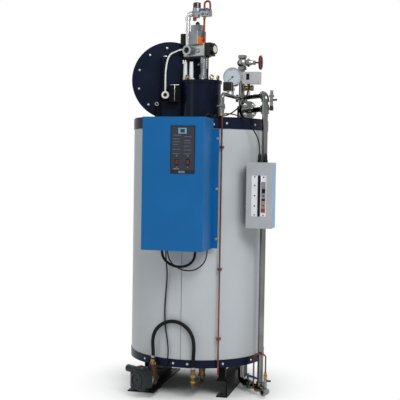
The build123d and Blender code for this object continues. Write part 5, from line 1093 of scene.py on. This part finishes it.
# Dark green-grey machine enamel on a rough casting
pump_grey = finish("pump_grey", "#22292A", "#1B2021", 60, 0.42, 0.06, 2.0, 0.08, dust=0.05,
                   Specular_IOR_Level=0.3)
dress(black_enamel, "pump_base")
dress(pump_grey, "pump_motor")
dress(bronze, "pump_head")
shaft = Vector((cos(radians(PUMP_TURN)), sin(radians(PUMP_TURN)), 0))
pump_left = Vector((-shaft.y, shaft.x, 0))


def on_pump(left, up, along):
    """Point in the pump's frame: to the left of its shaft, above it and along it."""
    return Vector(PUMP_ORIGIN) + pump_left * left + Vector((0, 0, up)) + shaft * along


shield_screws = bmesh.new()
for left in (-SHIELD_SCREW_RADIUS, SHIELD_SCREW_RADIUS):
    for up in (-SHIELD_SCREW_RADIUS, SHIELD_SCREW_RADIUS):
        hex_screw(shield_screws, on_pump(left, up, 0), -shaft, SHIELD_SCREW_HEAD)
piece("pump_shield_screws", shield_screws, pump_grey)
pump_plug = bmesh.new()
drum(pump_plug, PUMP_PLUG, -SEAT, PUMP_PLUG_PROUD, on_pump(0, TERMINAL_TOP, PUMP_PLUG_ALONG),
     edge=1.0, steps=6)
piece("pump_plug", pump_plug, copper)
pump_screws = bmesh.new()
for left in (-TERMINAL_HALF, TERMINAL_HALF):
    for along in TERMINAL_ROWS:
        drum(pump_screws, TERMINAL_SCREW, -SEAT, TERMINAL_SCREW_PROUD, on_pump(left, TERMINAL_TOP, along),
             edge=0.6, steps=16)
drum(pump_screws, HEAD_BAND_RADIUS, *HEAD_BAND, PUMP_ORIGIN, shaft, edge=1.0, steps=48)
piece("pump_fasteners", pump_screws, zinc_plate)
discharge = bmesh.new()
drum(discharge, *DISCHARGE_NUT, DISCHARGE, edge=1.0, steps=6)
drum(discharge, *DISCHARGE_NECK, DISCHARGE, edge=0.8)
piece("discharge_nut", discharge, brass)


# Feed inlet
# Worn brass pipe that leads from the hose's end down and in under the boiler.
# Two plain brass union nuts stand on its upright.
FEED_STEM = (78.0, -412.0, 0.0)
FEED_NUT = 15.5
FEED_NUTS = ((130.0, 146.0), (100.0, 110.0))

# Old brass, brown where it has been gripped and bright on its corners
worn_brass = finish("worn_brass", "#8E7048", "#3F3022", 50, 0.34, 0.1, 8.0, 0.05, Metallic=0.9)
dress(worn_brass, "feed_inlet")
feed_nuts = bmesh.new()
for low, high in FEED_NUTS:
    drum(feed_nuts, FEED_NUT, low, high, FEED_STEM, edge=1.2, steps=6)
piece("feed_nuts", feed_nuts, brass)


# Hose and cables
# Black rubber hose and sheathed cables, each one soft line between its two ends.
# Worm-drive clamps hold the hose on its two stems.
CLAMPS = ((*DISCHARGE[:2], 226.0), (*FEED_STEM[:2], 177.0))
CLAMP_RADIUS = 11.6
CLAMP_BAND = 1.2
CLAMP_WIDTH = 10.0
CLAMP_HOUSING = ((-5.0, -17.6, 1.0), (9.0, -11.1, 9.0))     # from the middle of the clamp's foot
CLAMP_HOUSING_EDGE = 1.0
WELD_DISTANCE = 0.001

# Matt black with a fine cloth print in the rubber
hose_rubber = finish("hose_rubber", "#0C0E0D", "#141615", 90, 0.5, 0.06, 2.4, 0.08, Specular_IOR_Level=0.15)
# Smooth black sheath
cable_black = finish("cable_black", "#0A0B0C", "#121314", 90, 0.46, 0.06, 2.0, 0.03, Specular_IOR_Level=0.15)
FREE_LINES = {
    "feed_hose": (21.0, hose_rubber, "hose_rubber", "stiff", [
        (-161, -397, 222), (-161, -397, 264), (-165, -403, 322), (-150, -409, 383), (-104, -414, 428),
        (-42, -417, 446), (21, -418, 428), (67, -418, 382), (84, -416, 318), (78, -412, 232),
        (78, -412, 174)]),
    "cable_bundle": (15.0, cable_black, "cable_black", "limp", [
        (-95, -478, 860), (-95, -478, 828), (-80, -474, 792), (-42, -467, 764), (8, -459, 754),
        (56, -453, 768), (84, -449, 800), (89, -448, 836), (89, -448, 860)]),
    "cable_loop": (7.0, cable_black, "cable_black", "medium", [
        (-70, -452, 860), (-70, -452, 818), (-46, -447, 770), (6, -442, 738), (68, -439, 732),
        (122, -437, 760), (154, -436, 810), (154, -436, 860)]),
    "pump_cable": (8.0, cable_black, "cable_black", "medium", [
        (-86, -430, 860), (-86, -430, 800), (-80, -410, 716), (-90, -398, 612), (-98, -396, 502),
        (-92, -398, 400), (-74, -404, 318), (-68, -410, 254), (-72, -414, 212), (-86, -408, 178),
        (-112, -378, 158), (-150, -352, 156), (-199.41, -370.16, 166), (-220.01, -404.44, 166)]),
    "level_cable": (7.0, cable_black, "cable_black", "medium", [
        (150, -430, 1536), (151.6, -403.4, 1548), (159.7, -379.8, 1586), (183.9, -351.8, 1610),
        (225.9, -317.9, 1616), (278.2, -290.2, 1610), (330.3, -272.2, 1580), (373.8, -254.1, 1520),
        (403.87, -239.63, 1456), (403.87, -239.63, 1396)]),
    "switch_cable": (8.0, cable_black, "cable_black", "medium", [
        (300.13, -56.46, 1805), (300.13, -56.46, 1768), (284, -90, 1712), (246, -130, 1650),
        (196, -170, 1612), (152, -236, 1604), (130, -304, 1606), (124, -360, 1612), (122, -391, 1594),
        (122, -398, 1562), (122, -420, 1540)]),
}


def route_line(name, route):
    """A smooth open line with the route's points as its control points."""
    line = bpy.data.curves.new(name, "CURVE")
    line.dimensions = "3D"
    spline = line.splines.new("NURBS")
    spline.points.add(len(route) - 1)
    for point, place in zip(spline.points, route):
        point.co = (*[value / MM_PER_M for value in place], 1.0)
    spline.order_u = 3
    spline.use_endpoint_u = True
    spline.resolution_u = 12
    return line


def drawn_points(line):
    """The points of a line as it is drawn, in metres."""
    probe = bpy.data.objects.new("probe", line)
    scene.collection.objects.link(probe)
    bpy.context.view_layer.update()
    drawn = bpy.data.meshes.new_from_object(probe.evaluated_get(bpy.context.evaluated_depsgraph_get()))
    places = [vertex.co.copy() for vertex in drawn.vertices]
    bpy.data.objects.remove(probe)
    bpy.data.meshes.remove(drawn)
    return places


for line_name, (diameter, sheath, slot_name, stiffness, route) in FREE_LINES.items():
    line = route_line(line_name + "_line", route)
    places = drawn_points(line)
    length = sum((after - before).length for before, after in zip(places, places[1:]))
    line.bevel_depth = diameter / 2 / MM_PER_M
    line.bevel_resolution = 4
    line.use_fill_caps = True
    line.materials.append(sheath)
    cord = bpy.data.objects.new(line_name + "_line", line)
    scene.collection.objects.link(cord)
    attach(cord, "boiler")
    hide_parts(line_name)

clamps = bmesh.new()
clamp_bore = CLAMP_RADIUS - CLAMP_BAND
for foot in CLAMPS:
    turn(clamps, [(clamp_bore, 0), (CLAMP_RADIUS, 0), (CLAMP_RADIUS, CLAMP_WIDTH), (clamp_bore, CLAMP_WIDTH),
                  (clamp_bore, 0)], foot, steps=32)
    block(clamps, *CLAMP_HOUSING, CLAMP_HOUSING_EDGE, Matrix.Translation(foot))
bmesh.ops.remove_doubles(clamps, verts=clamps.verts, dist=WELD_DISTANCE)
piece("hose_clamps", clamps, steel)
